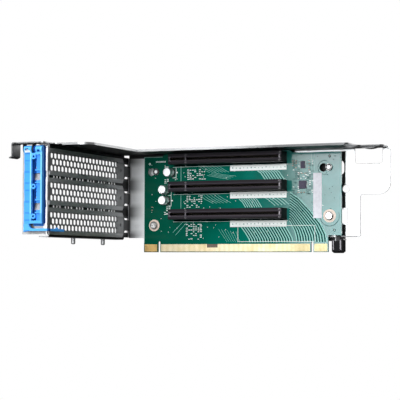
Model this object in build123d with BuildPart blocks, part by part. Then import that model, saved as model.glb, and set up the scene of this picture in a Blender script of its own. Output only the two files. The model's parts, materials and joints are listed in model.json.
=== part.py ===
from build123d import *
from math import cos, pi, sin
import os

# Server riser card: a circuit board with three card slots, carried by a folded sheet frame.
# Millimetres. The edge connector's tongue points down. X runs along the board, +Y goes from
# the board to the frame's back plate, and cards plug in from the -Y side. The origin is in
# the middle of the tongue's lower edge, halfway through the board.

# Circuit board
board_thickness = 1.57
tongue_width = 145.0
board_past_slots = 40.9
raised_above_slot = 0.91
raised_step = 1.8
raised_before_slots = 9.7
raised_past_slots = 4.3
raised_slope = 1.7
shoulder_height = 11.9
board_corner = 1.0
tongue_bevel_height = 0.5
tongue_bevel_depth = 0.35
left_key_inset = 12.5
right_key_inset = 11.9
key_slot_width = 1.9
left_key_height = 8.2
right_key_height = 7.4

# Plated contacts along the tongue
finger_top = 5.9
finger_plating = 0.05
finger_edge_margin = 0.65
short_finger_top = 3.4
short_fingers_left = -21.0
short_fingers_right = -12.5

# Card slots
slot_count = 3
slot_pitch = 20.32
lowest_slot_z = 27.7
slot_length = 89.0
slot_width = 7.5
slot_height = 11.25
slot_left = -47.6
slot_mouth = 1.75
slot_lead_in = 0.7
slot_depth = 8.6
slot_end_wall = 1.9
slot_key_from_end = 14.2
slot_key_thickness = 1.8
slot_foot_relief = 0.6

# Sheet metal
sheet = 0.8
bend_inside = 0.6
standoff_length = 5.6

# Back plate of the frame
plate_bottom = 10.8
plate_past_board = 11.7
lobe_past_board = 33.8
lobe_bottom = 40.8
lobe_corner = 8.4
plate_corner = 1.7
cutout_past_board = 7.95
cutout_width = 20.25
cutout_depth = 11.0
cutout_corner = 1.5
round_hole_past_board = 1.5
round_hole_z = 45.0
round_hole_radius = 2.8
long_hole_inset = 3.15
long_hole_z = 60.0
long_hole_width = 6.1
long_hole_height = 10.4
lanced_inset = 3.8
lanced_width = 6.4
lanced_bottom = 20.4
lanced_top = 30.4
lanced_ear_reach = 2.5
guide_tongue_inset = 6.9
guide_tongue_width = 4.3
guide_tongue_bottom = 2.5

# Roof of the frame
roof_gap = 0.3
roof_side_x = -61.6
roof_wide_front = -107.5
roof_strip_front = -35.3
roof_strip_past_board = 16.1
roof_tail_front = -12.8
roof_outer_corner = 9.0
roof_inner_corner = 14.0
roof_left = -100.0
roof_nose_left = -113.5
roof_nose_right = -88.6
roof_nose_front = -121.8
hem_depth = 3.0
dimple_length = 13.6
dimple_width = 8.0
dimple_depth = 1.5
dimple_from_end = 11.5
dimple_y = -5.4
tail_lip_drop = 2.4
tail_lip_length = 7.0
hook_width = 10.8
hook_drop = 9.7
hook_curl = 1.6

# Slot blanks, one behind each card slot
blank_drop = 7.4
blank_width = 18.42
blank_thickness = 0.86
blank_clearance = 0.04
blank_bend_inside = 1.0
blank_body_end = -5.3
blank_taper = 4.1
blank_tongue_width = 8.0
blank_tongue_gap = 0.1
tab_length = 11.4
tab_notch_height = 2.8
tab_screw_notch = 4.4
tab_screw_notch_depth = 4.6
hex_pitch = 5.02
hex_web = 0.82
hex_count = 19
hex_first_y = -108.2
blank_dimple_y = -7.9
blank_dimple_radius = 1.3
blank_dimple_height = 0.5
blank_dimple_slope = 45

# Rear window
window_inner_x = -89.4
window_bottom = 9.4
window_near = -114.8
window_bend_outside = 1.2
window_opening_height = 12.0
window_opening_near = -111.0
window_opening_far = -13.0
window_relief = 1.8
window_lip = 7.0
plate_edge_gap = 0.5
tongue_slot_near = -2.8
tongue_slot_far = 5.2
tongue_slot_height = 10.9
divider_hole = 1.5
divider_hole_pitch = 4.3
divider_group_pitch = 16.3
divider_group_count = 6
divider_first_y = -102.5
shelf_length = 19.8
shelf_cut_height = 6.0
shelf_cut_width = 5.2
rear_flange_length = 12.0

# Locating pins under the window
pin_radius = 1.5
pin_length = 4.4
pin_tip = 0.6
pin_x = -92.9
pin_first_y = -72.6
pin_spacing = 44.6

# Card retainer and its hinge
retainer_left = -104.7
retainer_right = -90.5
retainer_depth = 4.9
retainer_front_to_axis = 2.1
retainer_below_blank = 1.9
leg_length = 5.7
retainer_to_tab = 0.24
hinge_below_roof = 4.4
hinge_pin_radius = 1.0
hinge_running_fit = 0.06
hinge_side_gap = 0.3
hinge_press_gap = 0.02
hinge_ear_radius = 2.0
hinge_slot_depth = 2.6
knuckle_length = 5.9
strip_width = 4.6
rib_width = 1.3
groove_width = 3.0
strip_step = 0.5
groove_floor = 1.2
pocket_floor = 3.1
boss_radius = 1.8
boss_bore = 0.85
boss_sides = 12
boss_above_blank = 3.0
boss_depth = 2.6
groove_foot = 2.0
groove_below_hinge = 3.7
pocket_ribs_below = (6.2, 14.7)
thin_rib = 0.7
groove_slot_below = 2.7
groove_slot_width = 1.7
groove_slot_height = 4.4
strip_recess_depth = 0.3
strip_recess_width = 3.2
strip_recess_below = 1.5
strip_recess_height = 5.2
retainer_window_height = 4.8
retainer_window_below = 10.6
pad_gap = 0.04
pad_width = 8.0
pad_height = 7.0
pin_view_width = 2.6
pin_view_height = 1.5
leg_width = 4.1
latch_arm_thickness = 1.7
latch_arm_width = 1.7
latch_arm_reach = 24.0
latch_arm_above_leg = 0.6
latch_arm_depth = 2.4
latch_corner = 3.0
latch_catch = 0.9
latch_catch_reach = 15.8
latch_past_blank = 0.3

# Screws, standoffs and hanging studs that carry the board
screw_left_inset = 8.4
screw_left_z = 20.0
screw_right_inset = 8.7
screw_right_z = 25.6
screw_radius = 1.5
screw_hole_clearance = 0.2
screw_head_radius = 2.9
screw_head_height = 1.9
screw_recess = 0.7
screw_recess_length = 3.4
screw_recess_depth = 1.0
screw_thread_gap = 0.05
screw_reach = 4.4
standoff_radius = 3.0
stud_left_inset = 10.1
stud_right_inset = 9.0
stud_z = 60.0
stud_neck_radius = 1.5
stud_head_radius = 2.6
stud_head_height = 1.0
stud_base_radius = 2.4
stud_head_gap = 0.15
keyhole_entry_radius = 3.0
keyhole_travel = 4.3
keyhole_slot_clearance = 0.25

# Small parts on the board
can_radius = 3.15
can_height = 7.7
can_base = 6.6
can_base_height = 1.1
can_rim = 0.35
can_base_cut = 1.4
can_places = [(2.8, 59.1), (6.8, 46.2), (6.8, 38.3)]
chip_height = 1.0
chip_gap = 0.15
chip_mark_radius = 0.35
chip_mark_inset = 0.6
switch_chip_place = (12.3, 62.3)
switch_chip_size = (3.2, 5.2)
clock_chip_place = (12.2, 48.1)
clock_chip_size = (5.6, 5.8)
lead_pitch = 0.95
lead_count = 5
lead_length = 1.0
lead_width = 0.35
lead_thickness = 0.3
passive_places = [
    (4.7, 65.2), (4.7, 63.6), (4.7, 62.0), (7.2, 65.2), (7.2, 63.6), (7.2, 60.4),
    (17.0, 65.2), (17.0, 62.8), (17.0, 60.4), (17.0, 58.6), (9.5, 56.2), (11.7, 56.2),
    (13.9, 56.2), (8.8, 42.6), (11.0, 42.6), (13.2, 42.6),
]
passive_left_inset = 6.7
passive_left_levels = [33.6, 31.4]
passive_length = 1.1
passive_width = 0.6
passive_height = 0.5
label_past_slots = 20.0
label_width = 6.4
label_bottom = 24.1
label_top = 56.2
label_thickness = 0.1

# Guide block at the lower right corner
guide_wall_left = 1.6
guide_wall_right = 2.2
guide_bottom = -0.7
guide_body_top = 7.9
guide_depth = 6.8
guide_fit = 0.1
guide_wing = 3.0
guide_barb = 0.9
guide_taper = 1.2
guide_arm_top = 10.7
guide_barb_bottom = 8.5
guide_barb_height = 1.0

# Places that follow from the sizes above
board_front = -board_thickness / 2
board_back = board_thickness / 2
slot_levels = [lowest_slot_z + slot_pitch * (slot_count - 1 - i) for i in range(slot_count)]
slot_right = slot_left + slot_length
board_left = -tongue_width / 2
board_right = slot_right + board_past_slots
raised_top = slot_levels[0] + slot_width / 2 + raised_above_slot
board_top = raised_top - raised_step
raised_left = slot_left - raised_before_slots
raised_right = slot_right + raised_past_slots
left_key_x = board_left + left_key_inset
right_key_x = tongue_width / 2 - right_key_inset
screw_left_x = board_left + screw_left_inset
screw_right_x = board_right - screw_right_inset
stud_left_x = board_left + stud_left_inset
stud_right_x = board_right - stud_right_inset
can_spots = [(slot_left - before, z) for before, z in can_places]
switch_chip = (slot_right + switch_chip_place[0], switch_chip_place[1])
clock_chip = (slot_right + clock_chip_place[0], clock_chip_place[1])
passive_spots = [(slot_right + past, z) for past, z in passive_places]
passive_spots += [(board_left + passive_left_inset, z) for z in passive_left_levels]
label_left = slot_right + label_past_slots
label_right = label_left + label_width
plate_right_low = board_right + plate_past_board
lobe_right = board_right + lobe_past_board
cutout_left = board_right + cutout_past_board
cutout_right = cutout_left + cutout_width
round_hole_x = board_right + round_hole_past_board
long_hole_x = board_right - long_hole_inset
lanced_left = board_right - lanced_inset
lanced_right = lanced_left + lanced_width
guide_tongue_left = board_right - guide_tongue_inset
guide_tongue_right = guide_tongue_left + guide_tongue_width
guide_left = guide_tongue_left - guide_wall_left
guide_right = guide_tongue_right + guide_wall_right
roof_strip_right = board_right + roof_strip_past_board
dimple_x = lobe_right - dimple_from_end
plate_front = board_back + standoff_length
plate_back = plate_front + sheet
roof_under = raised_top + roof_gap
roof_top = roof_under + sheet
hem_under = roof_under - sheet
cutout_bottom = roof_under - cutout_depth
slot_middle_x = slot_left + slot_length / 2
blank_levels = [z - blank_drop for z in slot_levels]
slot_face = board_front - slot_height
window_outer_x = window_inner_x - sheet
blank_outer_x = window_inner_x + blank_clearance
blank_inner_x = blank_outer_x + blank_thickness
tab_back = window_near - blank_clearance
tab_front = tab_back - blank_thickness
hex_flats = hex_pitch - hex_web
hex_radius = hex_flats / 2 / cos(pi / 6)
hex_row_pitch = hex_pitch * sin(pi / 3)
retainer_back = tab_front - retainer_to_tab
retainer_front = retainer_back - retainer_depth
hinge_y = retainer_front + retainer_front_to_axis
knuckle_radius = retainer_depth - retainer_front_to_axis
hinge_height = roof_under - hinge_below_roof
retainer_bottom = blank_levels[-1] - retainer_below_blank
retainer_leg_bottom = retainer_bottom - leg_length
latch_arm_height = retainer_leg_bottom + latch_arm_above_leg
latch_left = blank_inner_x + latch_past_blank
latch_right = latch_left + latch_arm_width
latch_catch_y = retainer_front + latch_catch_reach
groove_bottom = retainer_bottom + groove_foot
groove_top = hinge_height - groove_below_hinge
groove_left = retainer_left + strip_width + rib_width
groove_right = groove_left + groove_width
pocket_right = retainer_right - rib_width
hinge_bracket_left = retainer_left - hinge_side_gap - sheet
hinge_bracket_right = retainer_left + knuckle_length + hinge_side_gap + sheet

os.makedirs("parts", exist_ok=True)


def level_y(y):
    """Sketch plane facing -Y at depth y, with local axes X and Z."""
    return Plane.XZ.offset(-y)


def block(x0, x1, y0, y1, z0, z1, mode=Mode.ADD):
    """Rectangular block between two corners, in the part being built."""
    with Locations(((x0 + x1) / 2, (y0 + y1) / 2, (z0 + z1) / 2)):
        Box(x1 - x0, y1 - y0, z1 - z0, mode=mode)


def save(builder, label):
    """Labels a finished piece and writes it under its own name."""
    builder.part.label = label
    export_step(builder.part, f"parts/{label}.step")


# Circuit board with its tongue, key slots, screw holes and keyholes
with BuildPart() as circuit_board:
    with BuildSketch(level_y(board_back)) as outline:
        with BuildLine():
            Polyline(
                (board_left, 0),
                (board_left, board_top),
                (raised_left, board_top),
                (raised_left + raised_slope, raised_top),
                (raised_right - raised_slope, raised_top),
                (raised_right, board_top),
                (board_right, board_top),
                (board_right, shoulder_height),
                (tongue_width / 2, shoulder_height),
                (tongue_width / 2, 0),
                close=True,
            )
        make_face()
        right_corners = outline.vertices().group_by(Axis.X)[-1]
        fillet(right_corners, board_corner)
        for key_x, key_height in ((left_key_x, left_key_height), (right_key_x, right_key_height)):
            with Locations((key_x, (key_height - key_slot_width / 2) / 2)):
                Rectangle(key_slot_width, key_height - key_slot_width / 2, mode=Mode.SUBTRACT)
            with Locations((key_x, key_height - key_slot_width / 2)):
                Circle(key_slot_width / 2, mode=Mode.SUBTRACT)
        with Locations((screw_left_x, screw_left_z), (screw_right_x, screw_right_z)):
            Circle(screw_radius + screw_hole_clearance, mode=Mode.SUBTRACT)
        slot_half = stud_neck_radius + keyhole_slot_clearance
        for stud_x in (stud_left_x, stud_right_x):
            with Locations((stud_x - keyhole_travel, stud_z)):
                Circle(keyhole_entry_radius, mode=Mode.SUBTRACT)
            with Locations((stud_x - keyhole_travel / 2, stud_z)):
                Rectangle(keyhole_travel, 2 * slot_half, mode=Mode.SUBTRACT)
            with Locations((stud_x, stud_z)):
                Circle(slot_half, mode=Mode.SUBTRACT)
    extrude(amount=board_thickness)
    lower_edges = circuit_board.edges().filter_by(Axis.X).group_by(Axis.Z)[0]
    front_edges = lower_edges.group_by(Axis.Y)[0]
    chamfer(front_edges, tongue_bevel_depth, tongue_bevel_depth)
    lower_edges = circuit_board.edges().filter_by(Axis.X).group_by(Axis.Z)[0]
    rear_edges = lower_edges.group_by(Axis.Y)[-1]
    chamfer(rear_edges, tongue_bevel_depth, tongue_bevel_depth)
save(circuit_board, "circuit_board")


# Plated contact bands, front and back, one in each stretch between the key slots
half_key = key_slot_width / 2
contact_runs = [
    (board_left, left_key_x - half_key),
    (left_key_x + half_key, right_key_x - half_key),
    (right_key_x + half_key, tongue_width / 2),
]
for face_name, pad_plane in (
    ("front", level_y(board_front)),
    ("back", level_y(board_back + finger_plating)),
):
    with BuildPart() as edge_contacts:
        with BuildSketch(pad_plane):
            for start, end in contact_runs:
                with Locations(((start + end) / 2, (finger_top + tongue_bevel_height) / 2)):
                    Rectangle(end - start - 2 * finger_edge_margin, finger_top - tongue_bevel_height)
            with Locations(((short_fingers_left + short_fingers_right) / 2, finger_top)):
                Rectangle(
                    short_fingers_right - short_fingers_left,
                    2 * (finger_top - short_finger_top),
                    mode=Mode.SUBTRACT,
                )
        extrude(amount=finger_plating)
    save(edge_contacts, f"edge_contacts_{face_name}")


# Card slot housings
relief_length = slot_length - 4 * slot_end_wall
for number, level in enumerate(slot_levels, start=1):
    with BuildPart() as slot_housing:
        with BuildSketch(level_y(board_front)):
            with Locations((slot_middle_x, level)):
                Rectangle(slot_length, slot_width)
        extrude(amount=slot_height)
        key_left = slot_left + slot_key_from_end - slot_key_thickness / 2
        key_right = key_left + slot_key_thickness
        runs = [
            (slot_left + slot_end_wall, key_left),
            (key_right, slot_left + slot_length - slot_end_wall),
        ]
        for run_left, run_right in runs:
            middle = (run_left + run_right) / 2
            with BuildSketch(level_y(slot_face)):
                with Locations((middle, level)):
                    Rectangle(run_right - run_left, slot_mouth)
            extrude(amount=-slot_depth, mode=Mode.SUBTRACT)
            with BuildSketch(level_y(slot_face)):
                with Locations((middle, level)):
                    Rectangle(run_right - run_left, slot_mouth + 2 * slot_lead_in)
            extrude(amount=-slot_lead_in, taper=45, mode=Mode.SUBTRACT)
        with BuildSketch(level_y(board_front)):
            with Locations((slot_middle_x, level)):
                Rectangle(relief_length, slot_width)
                Rectangle(relief_length, slot_width - 2 * slot_foot_relief, mode=Mode.SUBTRACT)
        extrude(amount=slot_foot_relief, mode=Mode.SUBTRACT)
    save(slot_housing, f"slot_housing_{number}")


# Outline of the back plate, seen from the front
with BuildSketch() as back_outline:
    with BuildLine():
        Polyline(
            (window_inner_x + plate_edge_gap, roof_top + sheet),
            (window_inner_x + plate_edge_gap, plate_bottom),
            (plate_right_low, plate_bottom),
            (plate_right_low, lobe_bottom),
            (lobe_right, lobe_bottom),
            (lobe_right, roof_top + sheet),
            close=True,
        )
    make_face()
    lobe_end = back_outline.vertices().sort_by_distance(Vertex(lobe_right, lobe_bottom))[0]
    fillet(lobe_end, lobe_corner)
    inner_end = back_outline.vertices().sort_by_distance(Vertex(plate_right_low, lobe_bottom))[0]
    fillet(inner_end, plate_corner)
    lower_end = back_outline.vertices().sort_by_distance(Vertex(plate_right_low, plate_bottom))[0]
    fillet(lower_end, plate_corner)
    tongue_height = plate_bottom - guide_tongue_bottom
    with Locations(((guide_tongue_left + guide_tongue_right) / 2, plate_bottom - tongue_height / 2)):
        Rectangle(guide_tongue_width, tongue_height)
    with Locations(((cutout_left + cutout_right) / 2, cutout_bottom + cutout_depth / 2)):
        Rectangle(cutout_width, cutout_depth, mode=Mode.SUBTRACT)
    cutout_side = back_outline.vertices().filter_by_position(
        Axis.Y, cutout_bottom - 0.1, cutout_bottom + 0.1
    )
    fillet(cutout_side, cutout_corner)
    with Locations((round_hole_x, round_hole_z)):
        Circle(round_hole_radius, mode=Mode.SUBTRACT)
    with Locations((long_hole_x, long_hole_z)):
        SlotOverall(long_hole_height, long_hole_width, rotation=90, mode=Mode.SUBTRACT)
    with Locations(((lanced_left + lanced_right) / 2, (lanced_bottom + lanced_top) / 2)):
        Rectangle(lanced_width, lanced_top - lanced_bottom, mode=Mode.SUBTRACT)
    tongue_gap = blank_tongue_gap
    with Locations(*[(window_inner_x, level) for level in blank_levels]):
        Rectangle(
            2 * (blank_clearance + blank_thickness + tongue_gap),
            blank_tongue_width + 2 * tongue_gap,
            mode=Mode.SUBTRACT,
        )

# Outline of the roof, seen from above, with the nose over the retainer at its front left
with BuildSketch() as roof_outline:
    with BuildLine():
        Polyline(
            (roof_nose_left, roof_nose_front),
            (roof_nose_right, roof_nose_front),
            (roof_nose_right, roof_wide_front),
            (roof_side_x, roof_wide_front),
            (roof_side_x, roof_strip_front),
            (roof_strip_right, roof_strip_front),
            (roof_strip_right, roof_tail_front),
            (lobe_right, roof_tail_front),
            (lobe_right, plate_back),
            (roof_left, plate_back),
            (roof_left, roof_nose_front + hook_width),
            (roof_nose_left, roof_nose_front + hook_width),
            close=True,
        )
    make_face()
    side_corners = roof_outline.vertices().filter_by_position(
        Axis.X, roof_side_x - 1, roof_side_x + 1
    )
    fillet(side_corners.sort_by(Axis.Y)[0], roof_outer_corner)
    fillet(side_corners.sort_by(Axis.Y)[1], roof_inner_corner)
    strip_corners = roof_outline.vertices().filter_by_position(
        Axis.X, roof_strip_right - 1, roof_strip_right + 1
    )
    fillet(strip_corners, 2 * plate_corner)
    nose_corners = roof_outline.vertices().filter_by_position(
        Axis.X, roof_nose_right - 1, roof_nose_right + 1
    )
    fillet(nose_corners, plate_corner)
    tail_corner = roof_outline.vertices().group_by(Axis.X)[-1].sort_by(Axis.Y)[0]
    fillet(tail_corner, 2 * plate_corner)

# Frame: one sheet, folded along the top of the back plate, with a hemmed front edge
with BuildPart() as support_frame:
    with BuildSketch(Plane.YZ.offset(roof_nose_left)) as section:
        with BuildLine():
            Polyline(
                (roof_nose_front, roof_under),
                (plate_front, roof_under),
                (plate_front, guide_tongue_bottom),
                (plate_back, guide_tongue_bottom),
                (plate_back, roof_top),
                (roof_nose_front, roof_top),
                close=True,
            )
        make_face()
        fold_inside = section.vertices().sort_by_distance(Vertex(plate_front, roof_under))[0]
        fillet(fold_inside, bend_inside)
        fold_outside = section.vertices().sort_by_distance(Vertex(plate_back, roof_top))[0]
        fillet(fold_outside, bend_inside + sheet)
    extrude(amount=lobe_right - roof_nose_left)

    span = 2 * (lobe_right - roof_nose_left)
    with BuildSketch(level_y(plate_back + sheet)):
        Rectangle(span, span)
        add(back_outline.sketch, mode=Mode.SUBTRACT)
    extrude(amount=3 * sheet, mode=Mode.SUBTRACT)
    with BuildSketch(Plane.XY.offset(hem_under)):
        Rectangle(span, span)
        add(roof_outline.sketch, mode=Mode.SUBTRACT)
    extrude(amount=3 * sheet, mode=Mode.SUBTRACT)

    # The edge is folded back under the sheet along the wide part, the side and the strip
    with BuildSketch(Plane.XY.offset(hem_under)):
        add(roof_outline.sketch)
        offset(roof_outline.sketch, amount=-hem_depth, mode=Mode.SUBTRACT)
        hem_left = roof_nose_right + hem_depth
        with Locations(((hem_left + roof_strip_right) / 2, (roof_wide_front + roof_tail_front) / 2)):
            Rectangle(
                roof_strip_right - 2 * hem_depth - hem_left,
                roof_tail_front - roof_wide_front,
                mode=Mode.INTERSECT,
            )
    extrude(amount=sheet)

    # Hook at the front left, bent down and curled outwards at its end
    hook_x = roof_nose_left - sheet / 2
    hook_end = roof_top - hook_drop
    with BuildSketch(level_y(roof_nose_front + hook_width)):
        with BuildLine():
            FilletPolyline(
                (roof_nose_left + sheet, roof_top - sheet / 2),
                (hook_x, roof_top - sheet / 2),
                (hook_x, hook_end),
                (hook_x - hook_curl - bend_inside, hook_end - hook_curl / 2),
                radius=bend_inside + sheet / 2,
            )
        trace(line_width=sheet)
    extrude(amount=hook_width)

    # Ears bent forward above and below the lanced opening
    ear_front = plate_front - lanced_ear_reach
    block(lanced_left, lanced_right, ear_front, plate_front, lanced_top, lanced_top + sheet)
    block(lanced_left, lanced_right, ear_front, plate_front, lanced_bottom - sheet, lanced_bottom)

    # Pressed dimple in the tail and the lip that is rolled down at its end
    with BuildSketch(level_y(dimple_y + dimple_width / 2)):
        with BuildLine():
            ThreePointArc(
                (dimple_x - dimple_length / 2, roof_under),
                (dimple_x, roof_under - dimple_depth),
                (dimple_x + dimple_length / 2, roof_under),
            )
            Line((dimple_x + dimple_length / 2, roof_under), (dimple_x - dimple_length / 2, roof_under))
        make_face()
    extrude(amount=dimple_width)
    with BuildSketch(level_y(dimple_y + dimple_width / 2 - sheet)):
        with BuildLine():
            ThreePointArc(
                (dimple_x - dimple_length / 2 + sheet, roof_top),
                (dimple_x, roof_top - dimple_depth),
                (dimple_x + dimple_length / 2 - sheet, roof_top),
            )
            Line(
                (dimple_x + dimple_length / 2 - sheet, roof_top),
                (dimple_x - dimple_length / 2 + sheet, roof_top),
            )
        make_face()
    extrude(amount=dimple_width - 2 * sheet, mode=Mode.SUBTRACT)
    with BuildSketch(level_y(plate_front - bend_inside)):
        with BuildLine():
            FilletPolyline(
                (lobe_right - sheet, roof_top - sheet / 2),
                (lobe_right + sheet / 2, roof_top - sheet / 2),
                (lobe_right + sheet / 2, roof_top - tail_lip_drop),
                radius=bend_inside + sheet / 2,
            )
        trace(line_width=sheet)
    extrude(amount=tail_lip_length)
save(support_frame, "support_frame")


# Rear window: the wall behind the card slots, with its shelf, lip and flanges
window_mid_x = window_inner_x - sheet / 2
window_bend = window_bend_outside - sheet / 2
with BuildPart() as rear_window:
    with BuildSketch(Plane.XY.offset(window_bottom + window_relief)):
        with BuildLine():
            FilletPolyline(
                (window_inner_x - shelf_length, window_near + sheet / 2),
                (window_mid_x, window_near + sheet / 2),
                (window_mid_x, plate_back + sheet / 2),
                (window_mid_x + rear_flange_length, plate_back + sheet / 2),
                radius=window_bend,
            )
        trace(line_width=sheet)
    extrude(amount=roof_under - window_bottom - 2 * window_relief)
    with BuildSketch(level_y(board_front)):
        with BuildLine():
            FilletPolyline(
                (window_outer_x - window_lip, roof_under - sheet / 2),
                (window_mid_x, roof_under - sheet / 2),
                (window_mid_x, window_bottom + sheet / 2),
                (window_outer_x - window_lip, window_bottom + sheet / 2),
                radius=window_bend,
            )
        trace(line_width=sheet)
    extrude(amount=board_front - window_near - window_relief)
    shelf_left = window_inner_x - shelf_length
    with BuildSketch(level_y(window_near + sheet)):
        with BuildLine():
            Polyline(
                (shelf_left, roof_under - shelf_cut_height),
                (shelf_left + shelf_cut_width, roof_under),
                (shelf_left, roof_under),
                close=True,
            )
        make_face()
    extrude(amount=sheet, mode=Mode.SUBTRACT)
    with BuildSketch(Plane.YZ.offset(window_outer_x)):
        for level in blank_levels:
            with Locations(((window_opening_near + window_opening_far) / 2, level)):
                Rectangle(window_opening_far - window_opening_near, window_opening_height)
            with Locations(((tongue_slot_near + tongue_slot_far) / 2, level)):
                Rectangle(tongue_slot_far - tongue_slot_near, tongue_slot_height)
        group_middle = divider_first_y + (divider_group_count - 1) * divider_group_pitch / 2
        for level in blank_levels[1:]:
            with Locations((group_middle, level + slot_pitch / 2)):
                with GridLocations(divider_group_pitch, 1, divider_group_count, 1):
                    with GridLocations(divider_hole_pitch, 1, 3, 1):
                        Rectangle(divider_hole, divider_hole)
    extrude(amount=sheet, mode=Mode.SUBTRACT)
save(rear_window, "rear_window")


# Slot blanks: bent plates with a honeycomb of holes, a tongue and a clamped tab
hex_middle = hex_first_y + (hex_count - 1) * hex_pitch / 2
blank_mid_x = blank_outer_x + blank_thickness / 2
tongue_end = plate_back - (window_bend_outside - sheet) - blank_tongue_gap
for number, level in enumerate(blank_levels, start=1):
    blank_low = level - blank_width / 2
    with BuildPart() as slot_blank:
        with BuildSketch(Plane.XY.offset(blank_low)):
            with BuildLine():
                FilletPolyline(
                    (blank_outer_x - tab_length, tab_back - blank_thickness / 2),
                    (blank_mid_x, tab_back - blank_thickness / 2),
                    (blank_mid_x, tongue_end),
                    radius=blank_bend_inside + blank_thickness / 2,
                )
            trace(line_width=blank_thickness)
        extrude(amount=blank_width)
        with BuildSketch(Plane.YZ.offset(blank_outer_x)):
            for row in (-1, 0, 1):
                with Locations((hex_middle, level + row * hex_row_pitch)):
                    with GridLocations(hex_pitch, 1, hex_count + abs(row), 1):
                        RegularPolygon(hex_radius, 6, rotation=90)
        extrude(amount=blank_thickness, mode=Mode.SUBTRACT)
        with BuildSketch(Plane.YZ.offset(blank_outer_x)):
            for side in (-1, 1):
                with BuildLine():
                    Polyline(
                        (blank_body_end, level + side * blank_width / 2),
                        (blank_body_end + blank_taper, level + side * blank_tongue_width / 2),
                        (tongue_end, level + side * blank_tongue_width / 2),
                        (tongue_end, level + side * blank_width / 2),
                        close=True,
                    )
                make_face()
        extrude(amount=blank_thickness, mode=Mode.SUBTRACT)
        with BuildSketch(Plane.YZ.offset(blank_inner_x)):
            with Locations((blank_dimple_y, level)):
                RegularPolygon(blank_dimple_radius, 8)
        extrude(amount=blank_dimple_height, taper=blank_dimple_slope)
        notch_back = tab_back + blank_bend_inside
        block(
            blank_outer_x - tab_length,
            blank_inner_x,
            tab_front,
            notch_back,
            blank_low,
            blank_low + tab_notch_height,
            mode=Mode.SUBTRACT,
        )
        block(
            blank_outer_x - tab_length,
            blank_outer_x - tab_length + tab_screw_notch_depth,
            tab_front,
            tab_back,
            level + boss_above_blank - tab_screw_notch / 2,
            level + boss_above_blank + tab_screw_notch / 2,
            mode=Mode.SUBTRACT,
        )
    save(slot_blank, f"slot_blank_{number}")


# Locating pins under the window's lip
with BuildPart() as locating_pins:
    with Locations(*[(pin_x, pin_first_y + i * pin_spacing, window_bottom) for i in range(2)]):
        Cylinder(pin_radius, pin_length, align=(Align.CENTER, Align.CENTER, Align.MAX))
    tips = locating_pins.edges().filter_by(GeomType.CIRCLE).group_by(Axis.Z)[0]
    chamfer(tips, pin_tip)
save(locating_pins, "locating_pins")


# Hinge bracket under the roof's nose, and the pin through its two ears
with BuildPart() as hinge_bracket:
    block(
        hinge_bracket_left,
        hinge_bracket_right,
        retainer_front,
        retainer_back,
        roof_under - sheet,
        roof_under,
    )
    for ear_left in (hinge_bracket_left, hinge_bracket_right - sheet):
        with BuildSketch(Plane.YZ.offset(ear_left)):
            with Locations((hinge_y, (hinge_height + roof_under - sheet) / 2)):
                Rectangle(2 * hinge_ear_radius, roof_under - sheet - hinge_height)
            with Locations((hinge_y, hinge_height)):
                Circle(hinge_ear_radius)
                Circle(hinge_pin_radius + hinge_press_gap, mode=Mode.SUBTRACT)
        extrude(amount=sheet)
save(hinge_bracket, "hinge_bracket")

with BuildPart() as hinge_pin:
    with BuildSketch(Plane.YZ.offset(hinge_bracket_left - hinge_side_gap)):
        with Locations((hinge_y, hinge_height)):
            Circle(hinge_pin_radius)
    extrude(amount=hinge_bracket_right - hinge_bracket_left + 2 * hinge_side_gap)
    chamfer(hinge_pin.edges().filter_by(GeomType.CIRCLE), hinge_side_gap / 2)
save(hinge_pin, "hinge_pin")


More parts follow.
